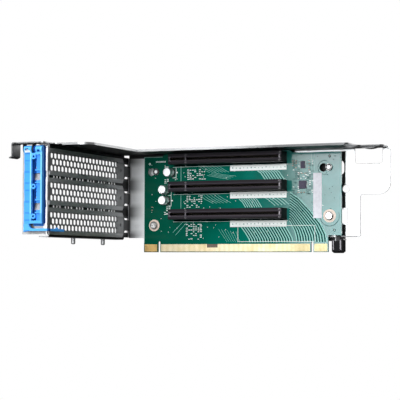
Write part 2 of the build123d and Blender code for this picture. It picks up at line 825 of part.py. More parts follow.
# Card retainer: a ribbed moulding that swings on the pin and holds down the tabs
with BuildPart() as card_retainer:
    with BuildSketch(Plane.YZ.offset(retainer_left)):
        with Locations(((retainer_front + retainer_back) / 2, (retainer_bottom + hinge_height) / 2)):
            Rectangle(retainer_depth, hinge_height - retainer_bottom)
        with Locations((hinge_y, hinge_height)):
            Circle(knuckle_radius)
    extrude(amount=retainer_right - retainer_left)

    # Strip at the left, set back a little from the ribs
    strip_right = retainer_left + strip_width
    block(
        retainer_left,
        strip_right,
        retainer_front,
        retainer_front + strip_step,
        retainer_bottom,
        hinge_height - knuckle_radius,
        mode=Mode.SUBTRACT,
    )

    # Deep groove with its ring bosses, and the shallower pockets beside it
    with BuildSketch(level_y(retainer_back - groove_floor)):
        with Locations(((groove_left + groove_right) / 2, (groove_bottom + groove_top) / 2)):
            Rectangle(groove_width, groove_top - groove_bottom)
        for level in blank_levels:
            with Locations(((groove_left + groove_right) / 2, level + boss_above_blank)):
                RegularPolygon(boss_radius, boss_sides, mode=Mode.SUBTRACT)
    extrude(amount=retainer_depth, mode=Mode.SUBTRACT)
    with BuildSketch(level_y(retainer_back - pocket_floor)):
        with Locations(((groove_right + pocket_right) / 2, (groove_bottom + groove_top) / 2)):
            Rectangle(pocket_right - groove_right, groove_top - groove_bottom)
        for level in blank_levels:
            for rib_below in pocket_ribs_below:
                with Locations(((groove_right + pocket_right) / 2, level - rib_below)):
                    Rectangle(pocket_right - groove_right, thin_rib, mode=Mode.SUBTRACT)
            with Locations(((groove_left + groove_right) / 2, level + boss_above_blank)):
                RegularPolygon(boss_radius, boss_sides, mode=Mode.SUBTRACT)
    extrude(amount=retainer_depth, mode=Mode.SUBTRACT)
    with BuildSketch(level_y(retainer_front)):
        for level in blank_levels:
            with Locations(((groove_left + groove_right) / 2, level + boss_above_blank)):
                RegularPolygon(boss_bore, boss_sides)
    extrude(amount=-boss_depth, mode=Mode.SUBTRACT)
    for level in blank_levels[:-1]:
        window_level = level - retainer_window_below
        block(
            groove_left,
            pocket_right,
            retainer_front,
            retainer_back,
            window_level - retainer_window_height / 2,
            window_level + retainer_window_height / 2,
            mode=Mode.SUBTRACT,
        )

    for level in blank_levels[:-1]:
        slot_level = level - groove_slot_below
        block(
            (groove_left + groove_right - groove_slot_width) / 2,
            (groove_left + groove_right + groove_slot_width) / 2,
            retainer_front,
            retainer_back,
            slot_level - groove_slot_height / 2,
            slot_level + groove_slot_height / 2,
            mode=Mode.SUBTRACT,
        )

    # Shallow recesses down the strip
    for level in blank_levels:
        recess_top = level - strip_recess_below
        block(
            retainer_left,
            retainer_left + strip_recess_width,
            retainer_front + strip_step,
            retainer_front + strip_step + strip_recess_depth,
            max(recess_top - strip_recess_height, retainer_bottom),
            recess_top,
            mode=Mode.SUBTRACT,
        )

    # Knuckle: bore for the pin, slot for the inner ear and an opening that shows the pin
    with BuildSketch(Plane.YZ.offset(retainer_left)):
        with Locations((hinge_y, hinge_height)):
            Circle(hinge_pin_radius + hinge_running_fit)
    extrude(amount=knuckle_length, mode=Mode.SUBTRACT)
    block(
        retainer_left + knuckle_length,
        hinge_bracket_right + 2 * hinge_side_gap,
        hinge_y - knuckle_radius,
        hinge_y + knuckle_radius,
        hinge_height - hinge_slot_depth,
        hinge_height + knuckle_radius,
        mode=Mode.SUBTRACT,
    )
    view_middle = retainer_left + strip_width / 2
    block(
        view_middle - pin_view_width / 2,
        view_middle + pin_view_width / 2,
        hinge_y - knuckle_radius,
        hinge_y,
        hinge_height - pin_view_height / 2,
        hinge_height + pin_view_height / 2,
        mode=Mode.SUBTRACT,
    )

    # Leg and latch arm below, turned back along the slot blanks
    arm_top = latch_arm_height + latch_arm_thickness
    with BuildSketch(level_y(retainer_front + latch_arm_depth)) as leg:
        with BuildLine():
            Polyline(
                (retainer_left, retainer_bottom),
                (retainer_left, retainer_leg_bottom),
                (retainer_left + leg_width, latch_arm_height),
                (latch_right, latch_arm_height),
                (latch_right, arm_top),
                (retainer_left + leg_width, arm_top),
                (retainer_left + leg_width, retainer_bottom),
                close=True,
            )
        make_face()
        corner = leg.vertices().sort_by_distance(Vertex(retainer_left + leg_width, arm_top))[0]
        fillet(corner, latch_corner)
    extrude(amount=latch_arm_depth)
    arm_end = retainer_front + latch_arm_reach
    block(latch_left, latch_right, retainer_front, arm_end, latch_arm_height, arm_top)
    with BuildSketch(Plane.YZ.offset(latch_left)):
        with BuildLine():
            Polyline(
                (latch_catch_y - 3 * latch_catch, arm_top),
                (latch_catch_y, arm_top + latch_catch),
                (latch_catch_y, arm_top),
                close=True,
            )
        make_face()
    extrude(amount=latch_arm_width)

    # Pads on the back, just off the tabs of the slot blanks
    pad_middle = groove_right
    for level in blank_levels:
        block(
            pad_middle - pad_width / 2,
            pad_middle + pad_width / 2,
            retainer_back,
            tab_front - pad_gap,
            level - pad_height / 2,
            level + pad_height / 2,
        )
save(card_retainer, "card_retainer")


# Standoffs between the board and the back plate, and the screws that clamp the board to them
screw_places = [(screw_left_x, screw_left_z), (screw_right_x, screw_right_z)]
with BuildPart() as standoffs:
    with BuildSketch(level_y(plate_front)):
        with Locations(*screw_places):
            RegularPolygon(standoff_radius, 6)
            Circle(screw_radius, mode=Mode.SUBTRACT)
    extrude(amount=standoff_length)
save(standoffs, "standoffs")

with BuildPart() as board_screws:
    with BuildSketch(level_y(board_front)):
        with Locations(*screw_places):
            Circle(screw_head_radius)
    extrude(amount=screw_head_height)
    rims = board_screws.edges().filter_by(GeomType.CIRCLE).group_by(Axis.Y)[0]
    chamfer(rims, screw_head_height / 3)
    with BuildSketch(level_y(board_front)):
        with Locations(*screw_places):
            Circle(screw_radius - screw_thread_gap)
    extrude(amount=-(board_thickness + screw_reach))
    with BuildSketch(level_y(board_front - screw_head_height)):
        with Locations(*screw_places):
            Rectangle(screw_recess_length, screw_recess, rotation=20)
            Rectangle(screw_recess, screw_recess_length, rotation=20)
    extrude(amount=-screw_recess_depth, mode=Mode.SUBTRACT)
save(board_screws, "board_screws")


# Hanging studs, whose necks pass through the keyholes
stud_places = [(stud_left_x, stud_z), (stud_right_x, stud_z)]
stud_head_back = board_front - stud_head_gap
with BuildPart() as hanging_studs:
    with BuildSketch(level_y(plate_front)):
        with Locations(*stud_places):
            RegularPolygon(stud_base_radius, 6)
    extrude(amount=standoff_length)
    with BuildSketch(level_y(board_back)):
        with Locations(*stud_places):
            Circle(stud_neck_radius)
    extrude(amount=board_thickness + stud_head_gap)
    with BuildSketch(level_y(stud_head_back)):
        with Locations(*stud_places):
            Circle(stud_head_radius)
    extrude(amount=stud_head_height)
    chamfer(hanging_studs.edges().filter_by(GeomType.CIRCLE).group_by(Axis.Y)[0], stud_head_height / 4)
save(hanging_studs, "hanging_studs")


# Capacitors: a metal can on a moulded base with two cut corners
for number, (can_x, can_z) in enumerate(can_spots, start=1):
    with BuildPart() as capacitor_base:
        with BuildSketch(level_y(board_front)) as base_outline:
            with Locations((can_x, can_z)):
                Rectangle(can_base, can_base)
            right_side = base_outline.vertices().group_by(Axis.X)[-1]
            chamfer(right_side, can_base_cut)
        extrude(amount=can_base_height)
    save(capacitor_base, f"capacitor_base_{number}")

    can_back = board_front - can_base_height
    with BuildPart() as capacitor_can:
        with BuildSketch(level_y(can_back)):
            with Locations((can_x, can_z)):
                Circle(can_radius)
        extrude(amount=can_height - can_base_height)
        rim = capacitor_can.edges().filter_by(GeomType.CIRCLE).group_by(Axis.Y)[0]
        chamfer(rim, can_rim)
    save(capacitor_can, f"capacitor_can_{number}")


# Chips: moulded bodies with a marked corner, and their bent leads
for label, (chip_x, chip_z), (chip_width, chip_length) in (
    ("switch_chip", switch_chip, switch_chip_size),
    ("clock_chip", clock_chip, clock_chip_size),
):
    with BuildPart() as chip:
        with BuildSketch(level_y(board_front - chip_gap)):
            with Locations((chip_x, chip_z)):
                Rectangle(chip_width, chip_length)
        extrude(amount=chip_height - chip_gap)
        chamfer(chip.faces().sort_by(Axis.Y)[0].edges(), chip_gap)
        with BuildSketch(level_y(board_front - chip_height)):
            mark_x = chip_x - chip_width / 2 + chip_mark_inset
            with Locations((mark_x, chip_z + chip_length / 2 - chip_mark_inset)):
                RegularPolygon(chip_mark_radius, 8)
        extrude(amount=-chip_gap, mode=Mode.SUBTRACT)
    save(chip, label)

    shank = board_front - chip_height / 2
    lead_low = chip_z - ((lead_count - 1) * lead_pitch + lead_width) / 2
    with BuildPart() as chip_leads:
        for number in range(lead_count):
            for side in (-1, 1):
                body_side = chip_x + side * chip_width / 2
                knee = body_side + side * lead_length / 2
                foot = body_side + side * lead_length
                with BuildSketch(Plane.XY.offset(lead_low + number * lead_pitch)):
                    with BuildLine():
                        Polyline(
                            (body_side, shank),
                            (knee, shank),
                            (knee, board_front - lead_thickness),
                            (foot, board_front - lead_thickness),
                            (foot, board_front),
                            (knee - side * lead_thickness, board_front),
                            (knee - side * lead_thickness, shank + lead_thickness),
                            (body_side, shank + lead_thickness),
                            close=True,
                        )
                    make_face()
                extrude(amount=lead_width)
    save(chip_leads, f"{label}_leads")


# Small passive parts soldered to the board
with BuildPart() as passives:
    with BuildSketch(level_y(board_front)):
        with Locations(*passive_spots):
            Rectangle(passive_length, passive_width)
    extrude(amount=passive_height)
save(passives, "passives")


# Blank label stuck to the board
with BuildPart() as blank_label:
    block(label_left, label_right, board_front - label_thickness, board_front, label_bottom, label_top)
save(blank_label, "blank_label")


# Guide block pushed over the tongue of the back plate
sheet_middle = (plate_front + plate_back) / 2
guide_back = sheet_middle + guide_depth / 2
with BuildPart() as guide_block:
    with BuildSketch(level_y(guide_back)) as guide_outline:
        with BuildLine():
            Polyline(
                (guide_left, guide_bottom),
                (guide_right, guide_bottom),
                (guide_right, guide_barb_bottom),
                (guide_right + guide_barb, guide_barb_bottom),
                (guide_right, guide_barb_bottom + guide_barb_height),
                (guide_right, guide_arm_top),
                (guide_tongue_right + guide_fit, guide_arm_top),
                (guide_tongue_right + guide_fit, guide_body_top),
                (guide_tongue_left - guide_fit, guide_body_top),
                (guide_tongue_left - guide_fit, guide_arm_top),
                (guide_left - guide_wing, guide_arm_top),
                (guide_left - guide_wing, guide_body_top),
                (guide_left, guide_body_top),
                close=True,
            )
        make_face()
        lower_corners = guide_outline.vertices().group_by(Axis.Y)[0]
        chamfer(lower_corners, guide_taper)
    extrude(amount=guide_depth)
    lower_face = guide_block.faces().sort_by(Axis.Z)[0]
    chamfer(lower_face.edges().filter_by(Axis.X), guide_taper)
    block(
        guide_tongue_left - guide_fit,
        guide_tongue_right + guide_fit,
        plate_front - guide_fit,
        plate_back + guide_fit,
        guide_tongue_bottom - guide_fit,
        guide_body_top,
        mode=Mode.SUBTRACT,
    )
save(guide_block, "guide_block")
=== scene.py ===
"""Looks of a server riser card: circuit board with card slots on a folded steel frame."""

import json
import math

import bpy
import numpy as np
from mathutils import Euler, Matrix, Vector


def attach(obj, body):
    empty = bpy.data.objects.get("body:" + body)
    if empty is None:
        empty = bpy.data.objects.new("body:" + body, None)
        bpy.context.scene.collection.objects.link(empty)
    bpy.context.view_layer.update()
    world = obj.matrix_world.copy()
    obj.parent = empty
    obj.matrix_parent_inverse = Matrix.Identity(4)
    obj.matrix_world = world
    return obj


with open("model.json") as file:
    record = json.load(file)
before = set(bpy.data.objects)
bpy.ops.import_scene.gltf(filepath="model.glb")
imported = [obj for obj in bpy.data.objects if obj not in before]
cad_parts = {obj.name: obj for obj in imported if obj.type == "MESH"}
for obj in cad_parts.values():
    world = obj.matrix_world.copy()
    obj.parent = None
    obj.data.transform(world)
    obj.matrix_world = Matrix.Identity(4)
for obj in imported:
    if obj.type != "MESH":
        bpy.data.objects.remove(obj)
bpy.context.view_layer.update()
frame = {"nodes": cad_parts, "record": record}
MM = 0.001

# Sizes and places of the visual details in millimetres, in the part's own frame
BOARD_FRONT = -0.785
INK_LIFT = 0.02
INK_THICKNESS = 0.02
SLOT_PITCH = 20.32
HALF_PITCH = SLOT_PITCH / 2
SLOT_LEVELS = (68.34, 48.02, 27.7)
SLOT_LEFT = -47.6
SLOT_LENGTH = 89.0
SLOT_RIGHT = SLOT_LEFT + SLOT_LENGTH
SLOT_FACE = -12.035
SLOT_MOUTH = 1.75
KEY_MIDDLE = -33.4
GAP_LEVEL = 10.14
RECESS_LEVEL = 43.5
PLATE_FRONT = 6.385
STUD_FACE = -1.935
GUIDE_FACE = 3.385
CONTACT_PITCH = 1.0
RIGHT_SCREW = (73.6, 25.6)
SCREW_LANDS = (((-64.1, 20.0), 4.3), (RIGHT_SCREW, 4.7))
STUD_LEVEL = 60.0
STUD_PLACES = (-62.4, 73.3)
LARGE_VIAS = ((73.7, 68.0), (77.1, 15.5))

# Depths of the marks' front faces
INK = BOARD_FRONT - INK_LIFT - INK_THICKNESS
LOWER_INK = BOARD_FRONT - INK_THICKNESS / 2 - INK_THICKNESS
TICK_INK = INK - 2 * INK_THICKNESS
SLOT_INK = SLOT_FACE - INK_THICKNESS
STUD_INK = STUD_FACE - INK_THICKNESS
GUIDE_INK = GUIDE_FACE - INK_THICKNESS
PLATE_INK = PLATE_FRONT - 0.75 * INK_THICKNESS

# The camera: its place in metres, its lens in millimetres and its turns in degrees
CAMERA_PLACE = (0.3926, -0.9426, -0.0091)
CAMERA_LENS = 126.1
CAMERA_YAW, CAMERA_PITCH, CAMERA_ROLL = 24.0, 2.638, 0.16
FLOOR_LEVEL, FLOOR_REACH = -0.16, 6


# Node helpers


def new_material(name):
    """Material with an empty node tree, its Principled BSDF and output."""
    material = bpy.data.materials.new(name)
    material.use_nodes = True
    tree = material.node_tree
    shader = tree.nodes["Principled BSDF"]
    return material, tree, shader


def node(tree, kind, **values):
    """Node of a kind, with its properties, or its inputs by name, set."""
    made = tree.nodes.new(kind)
    for key, value in values.items():
        if key.startswith("in_"):
            made.inputs[int(key[3:])].default_value = value
        else:
            setattr(made, key, value)
    return made


def join(tree, source, target):
    """Links an output socket to an input socket."""
    tree.links.new(source, target)


def ramp(tree, source, stops):
    """Colour ramp over a value, from (position, colour) stops."""
    made = tree.nodes.new("ShaderNodeValToRGB")
    elements = made.color_ramp.elements
    while len(elements) < len(stops):
        elements.new(0.5)
    for element, (position, colour) in zip(elements, stops):
        element.position = position
        element.color = (*colour, 1.0)
    join(tree, source, made.inputs["Fac"])
    return made.outputs["Color"]


def span(tree, source, low, high, to_low=0.0, to_high=1.0):
    """Value mapped from one range to another and clamped."""
    made = node(tree, "ShaderNodeMapRange", in_1=low, in_2=high, in_3=to_low, in_4=to_high)
    join(tree, source, made.inputs[0])
    return made.outputs[0]


def span_mm(tree, source, low, high, to_low=0.0, to_high=1.0):
    """Like span, over a place given in millimetres."""
    return span(tree, source, low * MM, high * MM, to_low, to_high)


def maths(tree, operation, *values):
    """Result of a maths node on values, each a number or a socket."""
    made = node(tree, "ShaderNodeMath", operation=operation)
    for value, socket in zip(values, made.inputs):
        if isinstance(value, float):
            socket.default_value = value
        else:
            join(tree, value, socket)
    return made.outputs[0]


def product(tree, first, *others):
    """Product of two or more values."""
    for other in others:
        first = maths(tree, "MULTIPLY", first, other)
    return first


def largest(tree, first, *others):
    """The largest of two or more values."""
    for other in others:
        first = maths(tree, "MAXIMUM", first, other)
    return first


def band(tree, value, low, high, soft):
    """Mask that is one between two values and fades to nought over a soft edge outside them."""
    return product(
        tree, span(tree, value, low - soft, low), span(tree, value, high + soft, high)
    )


def soft_box(tree, first, second, limits, soft=0.15):
    """Mask of a rectangle in two places; its four limits and its edge are in millimetres."""
    low, high, second_low, second_high = (limit * MM for limit in limits)
    return product(
        tree,
        band(tree, first, low, high, soft * MM),
        band(tree, second, second_low, second_high, soft * MM),
    )


def axes(tree, vector):
    """X, Y and Z of a vector."""
    split = node(tree, "ShaderNodeSeparateXYZ")
    join(tree, vector, split.inputs[0])
    return split.outputs["X"], split.outputs["Y"], split.outputs["Z"]


def object_place(tree):
    """Object coordinates."""
    return node(tree, "ShaderNodeTexCoord").outputs["Object"]


def face_turn(tree):
    """Direction that the face looks to."""
    return node(tree, "ShaderNodeNewGeometry").outputs["Normal"]


def pitch_distance(tree, z, level):
    """Distance from the nearest of the lines that repeat at the slots' pitch from a level: a
    ping-pong of the height over half a pitch."""
    above = maths(tree, "SUBTRACT", z, level * MM)
    return maths(tree, "PINGPONG", above, HALF_PITCH * MM)


def pitch_offset(tree, z, level):
    """Height over the nearest of the lines that repeat at the slots' pitch from a level,
    negative below it: a wrap of the height over one pitch."""
    above = maths(tree, "SUBTRACT", z, level * MM)
    return maths(tree, "WRAP", above, HALF_PITCH * MM, -HALF_PITCH * MM)


def group_tree(name, inputs, outputs):
    """Shader node group with named sockets, and its input and output nodes."""
    tree = bpy.data.node_groups.new(name, "ShaderNodeTree")
    for label, kind, value in inputs:
        made = tree.interface.new_socket(name=label, in_out="INPUT", socket_type=kind)
        if value is not None:
            made.default_value = value
    for label, kind in outputs:
        tree.interface.new_socket(name=label, in_out="OUTPUT", socket_type=kind)
    return tree, tree.nodes.new("NodeGroupInput"), tree.nodes.new("NodeGroupOutput")


def make_surface_grain():
    """Fine mottling of a surface: a mask, a height and a smudge mask from object coordinates."""
    tree, entry, leave = group_tree(
        "surface_grain",
        [
            ("Scale", "NodeSocketFloat", 900.0),
            ("Smudge Scale", "NodeSocketFloat", 45.0),
        ],
        [("Mask", "NodeSocketFloat"), ("Height", "NodeSocketFloat"), ("Smudge", "NodeSocketFloat")],
    )
    place = node(tree, "ShaderNodeTexCoord")
    fine = node(tree, "ShaderNodeTexNoise", in_3=4.0)
    join(tree, place.outputs["Object"], fine.inputs["Vector"])
    join(tree, entry.outputs["Scale"], fine.inputs["Scale"])
    coarse = node(tree, "ShaderNodeTexNoise", in_3=3.0)
    join(tree, place.outputs["Object"], coarse.inputs["Vector"])
    join(tree, entry.outputs["Smudge Scale"], coarse.inputs["Scale"])
    join(tree, span(tree, fine.outputs["Fac"], 0.3, 0.7), leave.inputs["Mask"])
    join(tree, fine.outputs["Fac"], leave.inputs["Height"])
    join(tree, span(tree, coarse.outputs["Fac"], 0.38, 0.68), leave.inputs["Smudge"])
    return tree


def make_zinc_spangle():
    """Patchwork of zinc crystals: each cell of a Voronoi pattern has its own tone."""
    tree, entry, leave = group_tree(
        "zinc_spangle",
        [("Scale", "NodeSocketFloat", 160.0)],
        [("Tone", "NodeSocketFloat"), ("Height", "NodeSocketFloat")],
    )
    place = node(tree, "ShaderNodeTexCoord")
    warp = node(tree, "ShaderNodeTexNoise", in_2=120.0, in_3=2.0)
    join(tree, place.outputs["Object"], warp.inputs["Vector"])
    shift = node(tree, "ShaderNodeVectorMath", operation="SCALE")
    shift.inputs["Scale"].default_value = 0.006
    join(tree, warp.outputs["Color"], shift.inputs[0])
    moved = node(tree, "ShaderNodeVectorMath", operation="ADD")
    join(tree, place.outputs["Object"], moved.inputs[0])
    join(tree, shift.outputs[0], moved.inputs[1])
    cells = node(tree, "ShaderNodeTexVoronoi", feature="F1")
    join(tree, moved.outputs[0], cells.inputs["Vector"])
    join(tree, entry.outputs["Scale"], cells.inputs["Scale"])
    tone = node(tree, "ShaderNodeSeparateColor")
    join(tree, cells.outputs["Color"], tone.inputs[0])
    join(tree, tone.outputs[0], leave.inputs["Tone"])
    join(tree, cells.outputs["Distance"], leave.inputs["Height"])
    return tree


GRAIN = make_surface_grain()
SPANGLE = make_zinc_spangle()


def use_group(tree, group, **values):
    """Group node in a material, with its named inputs set."""
    made = tree.nodes.new("ShaderNodeGroup")
    made.node_tree = group
    for key, value in values.items():
        made.inputs[key.replace("_", " ")].default_value = value
    return made


def bump(tree, shader, height, strength, distance):
    """Bump from a height into a shader's normal."""
    made = node(tree, "ShaderNodeBump")
    made.inputs["Strength"].default_value = strength
    made.inputs["Distance"].default_value = distance
    join(tree, height, made.inputs["Height"])
    join(tree, made.outputs["Normal"], shader.inputs["Normal"])


def mixed(tree, factor, first, second):
    """Colour mix of two colours, each given as numbers or as a socket."""
    made = node(tree, "ShaderNodeMix", data_type="RGBA")
    join(tree, factor, made.inputs[0])
    for colour, socket in ((first, made.inputs[6]), (second, made.inputs[7])):
        if isinstance(colour, tuple):
            socket.default_value = (*colour, 1.0)
        else:
            join(tree, colour, socket)
    return made.outputs[2]


def smudged(tree, shader, detail, low, high):
    """Roughness between two values by the smudge mask of a grain."""
    shade = span(tree, detail.outputs["Smudge"], 0.0, 1.0, low, high)
    join(tree, shade, shader.inputs["Roughness"])


def plastic(
    name, colour, light, roughness, grain=1400.0, depth=0.00002, coat=0.0, smudge=0.08, specular=0.5
):
    """Moulded plastic: two near tones in a fine mottle, with handling smudges in the roughness."""
    material, tree, shader = new_material(name)
    detail = use_group(tree, GRAIN, Scale=grain)
    join(tree, mixed(tree, detail.outputs["Mask"], colour, light), shader.inputs["Base Color"])
    smudged(tree, shader, detail, roughness, roughness + smudge)
    shader.inputs["Coat Weight"].default_value = coat
    shader.inputs["Specular IOR Level"].default_value = specular
    bump(tree, shader, detail.outputs["Height"], 0.35, depth)
    return material


def slot_material():
    """Black moulding with painted light: painted highlights on the rails' edges beside the mouth,
    and painted shade in the mouth. The distance from the nearest slot's middle line picks the tone.
    A painted shadow darkens the face's lower border and grows wider to the right, and painted shade
    darkens the faces behind the front face."""
    material, tree, shader = new_material("slot_plastic")
    x, y, z = axes(tree, object_place(tree))
    away = pitch_distance(tree, z, SLOT_LEVELS[-1])
    # Painted highlight on the rails' edges and painted shade in the mouth, by the distance from the
    # slot's middle line
    tone = ramp(
        tree,
        span_mm(tree, away, 0.0, 4.0),
        [
            (0.0, (0.002, 0.002, 0.002)),
            (0.22, (0.004, 0.003, 0.005)),
            (0.27, (0.075, 0.066, 0.08)),
            (0.4, (0.06, 0.052, 0.065)),
            (0.46, (0.02, 0.017, 0.022)),
            (0.9, (0.014, 0.012, 0.016)),
        ],
    )
    # Painted shadow along the face's lower border, wider to the right
    border = span_mm(tree, x, 0.0, 30.0, -3.5 * MM, -2.8 * MM)
    lip = maths(tree, "LESS_THAN", pitch_offset(tree, z, SLOT_LEVELS[-1]), border)
    tone = mixed(tree, lip, tone, (0.002, 0.002, 0.002))
    # Painted shade on the faces behind the front face
    near_face = span_mm(tree, y, -11.4, -11.9)
    detail = use_group(tree, GRAIN, Scale=1500.0)
    dark = mixed(tree, detail.outputs["Mask"], (0.001, 0.001, 0.001), (0.003, 0.0025, 0.0035))
    join(tree, mixed(tree, near_face, dark, tone), shader.inputs["Base Color"])
    smudged(tree, shader, detail, 0.36, 0.46)
    shader.inputs["Specular IOR Level"].default_value = 0.06
    bump(tree, shader, detail.outputs["Height"], 0.3, 0.00002)
    return material


def retainer_material():
    """Blue moulding with painted light: a painted highlight on the raised ribs at the front, and
    painted shade, deep blue, down in the groove. Boxes in X and Z give painted highlights on the
    crests of the two ribs and where the pin shows, and painted shade on the side past the second
    rib, at the groove's top, in a notch and along the borders of the shallow recesses; the borders
    repeat at the slots' pitch."""
    material, tree, shader = new_material("retainer_plastic")
    x, y, z = axes(tree, object_place(tree))
    deep = span_mm(tree, y, -120.95, -110.95)
    # Painted light by depth: painted highlight on the front faces, painted shade down in the groove
    tone = ramp(
        tree,
        deep,
        [
            (0.0, (0.09, 0.42, 0.86)),
            (0.04, (0.045, 0.33, 0.86)),
            (0.2, (0.035, 0.28, 0.8)),
            (0.26, (0.003, 0.035, 0.2)),
            (0.46, (0.004, 0.045, 0.26)),
            (0.56, (0.05, 0.34, 0.86)),
        ],
    )
    front = span(tree, deep, 0.16, 0.1)
    # Painted highlights on the crests of the two ribs
    crests = largest(
        tree,
        soft_box(tree, x, z, (-99.8, -99.1, 25.5, 67.5)),
        soft_box(tree, x, z, (-91.6, -90.9, 25.5, 70.5)),
    )
    # Painted shade on the side past the second rib
    past = product(
        tree, span_mm(tree, x, -90.8, -90.4), band(tree, z, 17.8 * MM, 71.5 * MM, 0.15 * MM)
    )
    # Painted shade along the borders of the shallow recesses
    away = pitch_distance(tree, z, RECESS_LEVEL)
    borders = product(
        tree,
        largest(
            tree, band(tree, away, 2.1 * MM, 2.9 * MM, 0.3 * MM), span_mm(tree, away, 9.2, 9.5)
        ),
        band(tree, x, -103.9 * MM, -100.3 * MM, 0.3 * MM),
    )
    # Painted shade at the groove's top and in a notch, and a painted highlight where the pin shows
    top = soft_box(tree, x, z, (-98.1, -95.7, 66.5, 71.2))
    notch = soft_box(tree, x, z, (-94.2, -92.4, 67.2, 68.6))
    pin = soft_box(tree, x, z, (-104.1, -99.8, 67.0, 68.1))
    dark = product(tree, largest(tree, top, notch), front)
    tone = mixed(tree, product(tree, crests, front), tone, (0.2, 0.62, 0.95))
    tone = mixed(tree, product(tree, past, front), tone, (0.02, 0.16, 0.42))
    tone = mixed(tree, product(tree, borders, front), tone, (0.02, 0.22, 0.62))
    tone = mixed(tree, dark, tone, (0.002, 0.025, 0.2))
    tone = mixed(tree, product(tree, pin, front), tone, (0.9, 0.94, 0.96))
    detail = use_group(tree, GRAIN, Scale=1300.0)
    faint = span(tree, detail.outputs["Mask"], 0.0, 1.0, 0.0, 0.12)
    join(tree, mixed(tree, faint, tone, (0.02, 0.22, 0.8)), shader.inputs["Base Color"])
    groove = band(tree, deep, 0.25, 0.48, 0.04)
    gloss = span(tree, largest(tree, dark, groove), 0.0, 1.0, 0.5, 0.04)
    join(tree, gloss, shader.inputs["Specular IOR Level"])
    smudged(tree, shader, detail, 0.34, 0.44)
    bump(tree, shader, detail.outputs["Height"], 0.3, 0.00002)
    return material


def metal(name, colour, light, roughness, spread, shade_map, highlight_map=None):
    """Plated sheet: a spangle of zinc crystals in the colour and the roughness. Painted shade
    darkens the underside, a shade map paints shade on stretches of the sheet, and a highlight map
    paints a white highlight on cut edges."""
    material, tree, shader = new_material(name)
    crystals = use_group(tree, SPANGLE, Scale=330.0)
    detail = use_group(tree, GRAIN, Scale=2200.0)
    tone = mixed(tree, crystals.outputs["Tone"], colour, light)
    turn_z = axes(tree, face_turn(tree))[2]
    # Painted shade on faces that look down
    under = span(tree, turn_z, -0.3, -0.9)
    tone = mixed(tree, under, tone, tuple(0.16 * c for c in colour))
    # Painted shade on the stretches that the shade map picks
    tone = mixed(tree, shade_map(tree), tone, tuple(0.03 * c for c in colour))
    shader.inputs["Metallic"].default_value = 1.0
    # Painted highlight: white and not metallic where the highlight map picks
    if highlight_map:
        cut = highlight_map(tree)
        tone = mixed(tree, cut, tone, (0.95, 0.95, 0.95))
        join(tree, span(tree, cut, 0.0, 1.0, 1.0, 0.0), shader.inputs["Metallic"])
    join(tree, tone, shader.inputs["Base Color"])
    shade = span(tree, crystals.outputs["Tone"], 0.0, 1.0, roughness, roughness + spread)
    both = maths(tree, "MULTIPLY_ADD", detail.outputs["Smudge"], 0.05, shade)
    join(tree, both, shader.inputs["Roughness"])
    bump(tree, shader, detail.outputs["Height"], 0.3, 0.00001)
    return material


def frame_shade(tree):
    """Shade on the back plate's strip between the slot blanks and the board, deepest where the
    strip meets the blanks' tongues, on the roof and most on its right front edge, in the hollow
    behind the right keyhole, on the hook, and on the plate's front beside and above the board."""
    place = object_place(tree)
    x, y, z = axes(tree, place)
    turn_y = axes(tree, face_turn(tree))[1]
    front = span(tree, turn_y, -0.3, -0.6)
    plate = product(tree, span_mm(tree, y, 4.5, 5.5), front)
    ceiling = span_mm(tree, x, 44.0, 46.0, 73.5 * MM, 71.8 * MM)
    beside = product(
        tree,
        largest(tree, span_mm(tree, x, 75.5, 76.0), span_mm(tree, z, 70.5, 71.0)),
        span_mm(tree, x, 83.4, 83.0),
        maths(tree, "LESS_THAN", z, ceiling),
        plate,
    )
    banded = span_mm(tree, pitch_distance(tree, z, GAP_LEVEL), 3.0, 7.0, 1.0, 0.45)
    strip = product(
        tree,
        largest(
            tree,
            product(tree, span_mm(tree, x, -73.5, -89.5), banded),
            span_mm(tree, x, -85.5, -88.5),
        ),
        plate,
    )
    rim = product(tree, span_mm(tree, x, 0.0, 45.0, 0.6, 0.93), front)
    lit = span(tree, turn_y, -0.3, -0.9, 0.45, 0.6)
    roof = product(tree, span_mm(tree, y, 2.0, -2.0), largest(tree, lit, rim))
    away = node(tree, "ShaderNodeVectorMath", operation="DISTANCE")
    join(tree, place, away.inputs[0])
    away.inputs[1].default_value = (68.5 * MM, PLATE_FRONT * MM, STUD_LEVEL * MM)
    hollow = product(tree, span_mm(tree, away.outputs["Value"], 6.2, 5.2), plate)
    hook = span_mm(tree, x, -109.5, -110.5, 0.0, 0.78)
    return largest(tree, strip, roof, hook, hollow, beside)


def window_shade(tree):
    """Shade on the rear window's wall: in the gaps between the slot blanks, past the blanks'
    ends, and on the hinge's bracket. The wall's outer side and the edges of its openings stay
    bright."""
    y, z = axes(tree, object_place(tree))[1:]
    turn_x = axes(tree, face_turn(tree))[0]
    gap = span_mm(tree, pitch_distance(tree, z, GAP_LEVEL), 3.4, 2.8)
    past = span_mm(tree, y, -11.5, -10.5, 0.0, 0.92)
    wall = product(
        tree,
        span_mm(tree, y, -113.5, -112.5),
        span_mm(tree, y, 6.2, 5.5),
        span(tree, turn_x, 0.3, 0.8),
    )
    bracket = span_mm(tree, y, -115.0, -115.5, 0.0, 0.95)
    return largest(tree, product(tree, largest(tree, gap, past), wall), bracket)


def window_hole_highlights(tree):
    """Painted highlight on the cut edges of the small holes between the slot blanks: faces of the
    wall near a gap's middle line that don't look along the wall's thickness."""
    y, z = axes(tree, object_place(tree))[1:]
    turn_x = axes(tree, face_turn(tree))[0]
    return product(
        tree,
        span_mm(tree, pitch_distance(tree, z, GAP_LEVEL), 2.2, 1.8),
        span_mm(tree, y, -112.5, -112.0),
        span_mm(tree, y, -12.0, -12.5),
        span(tree, maths(tree, "ABSOLUTE", turn_x), 0.4, 0.2),
    )


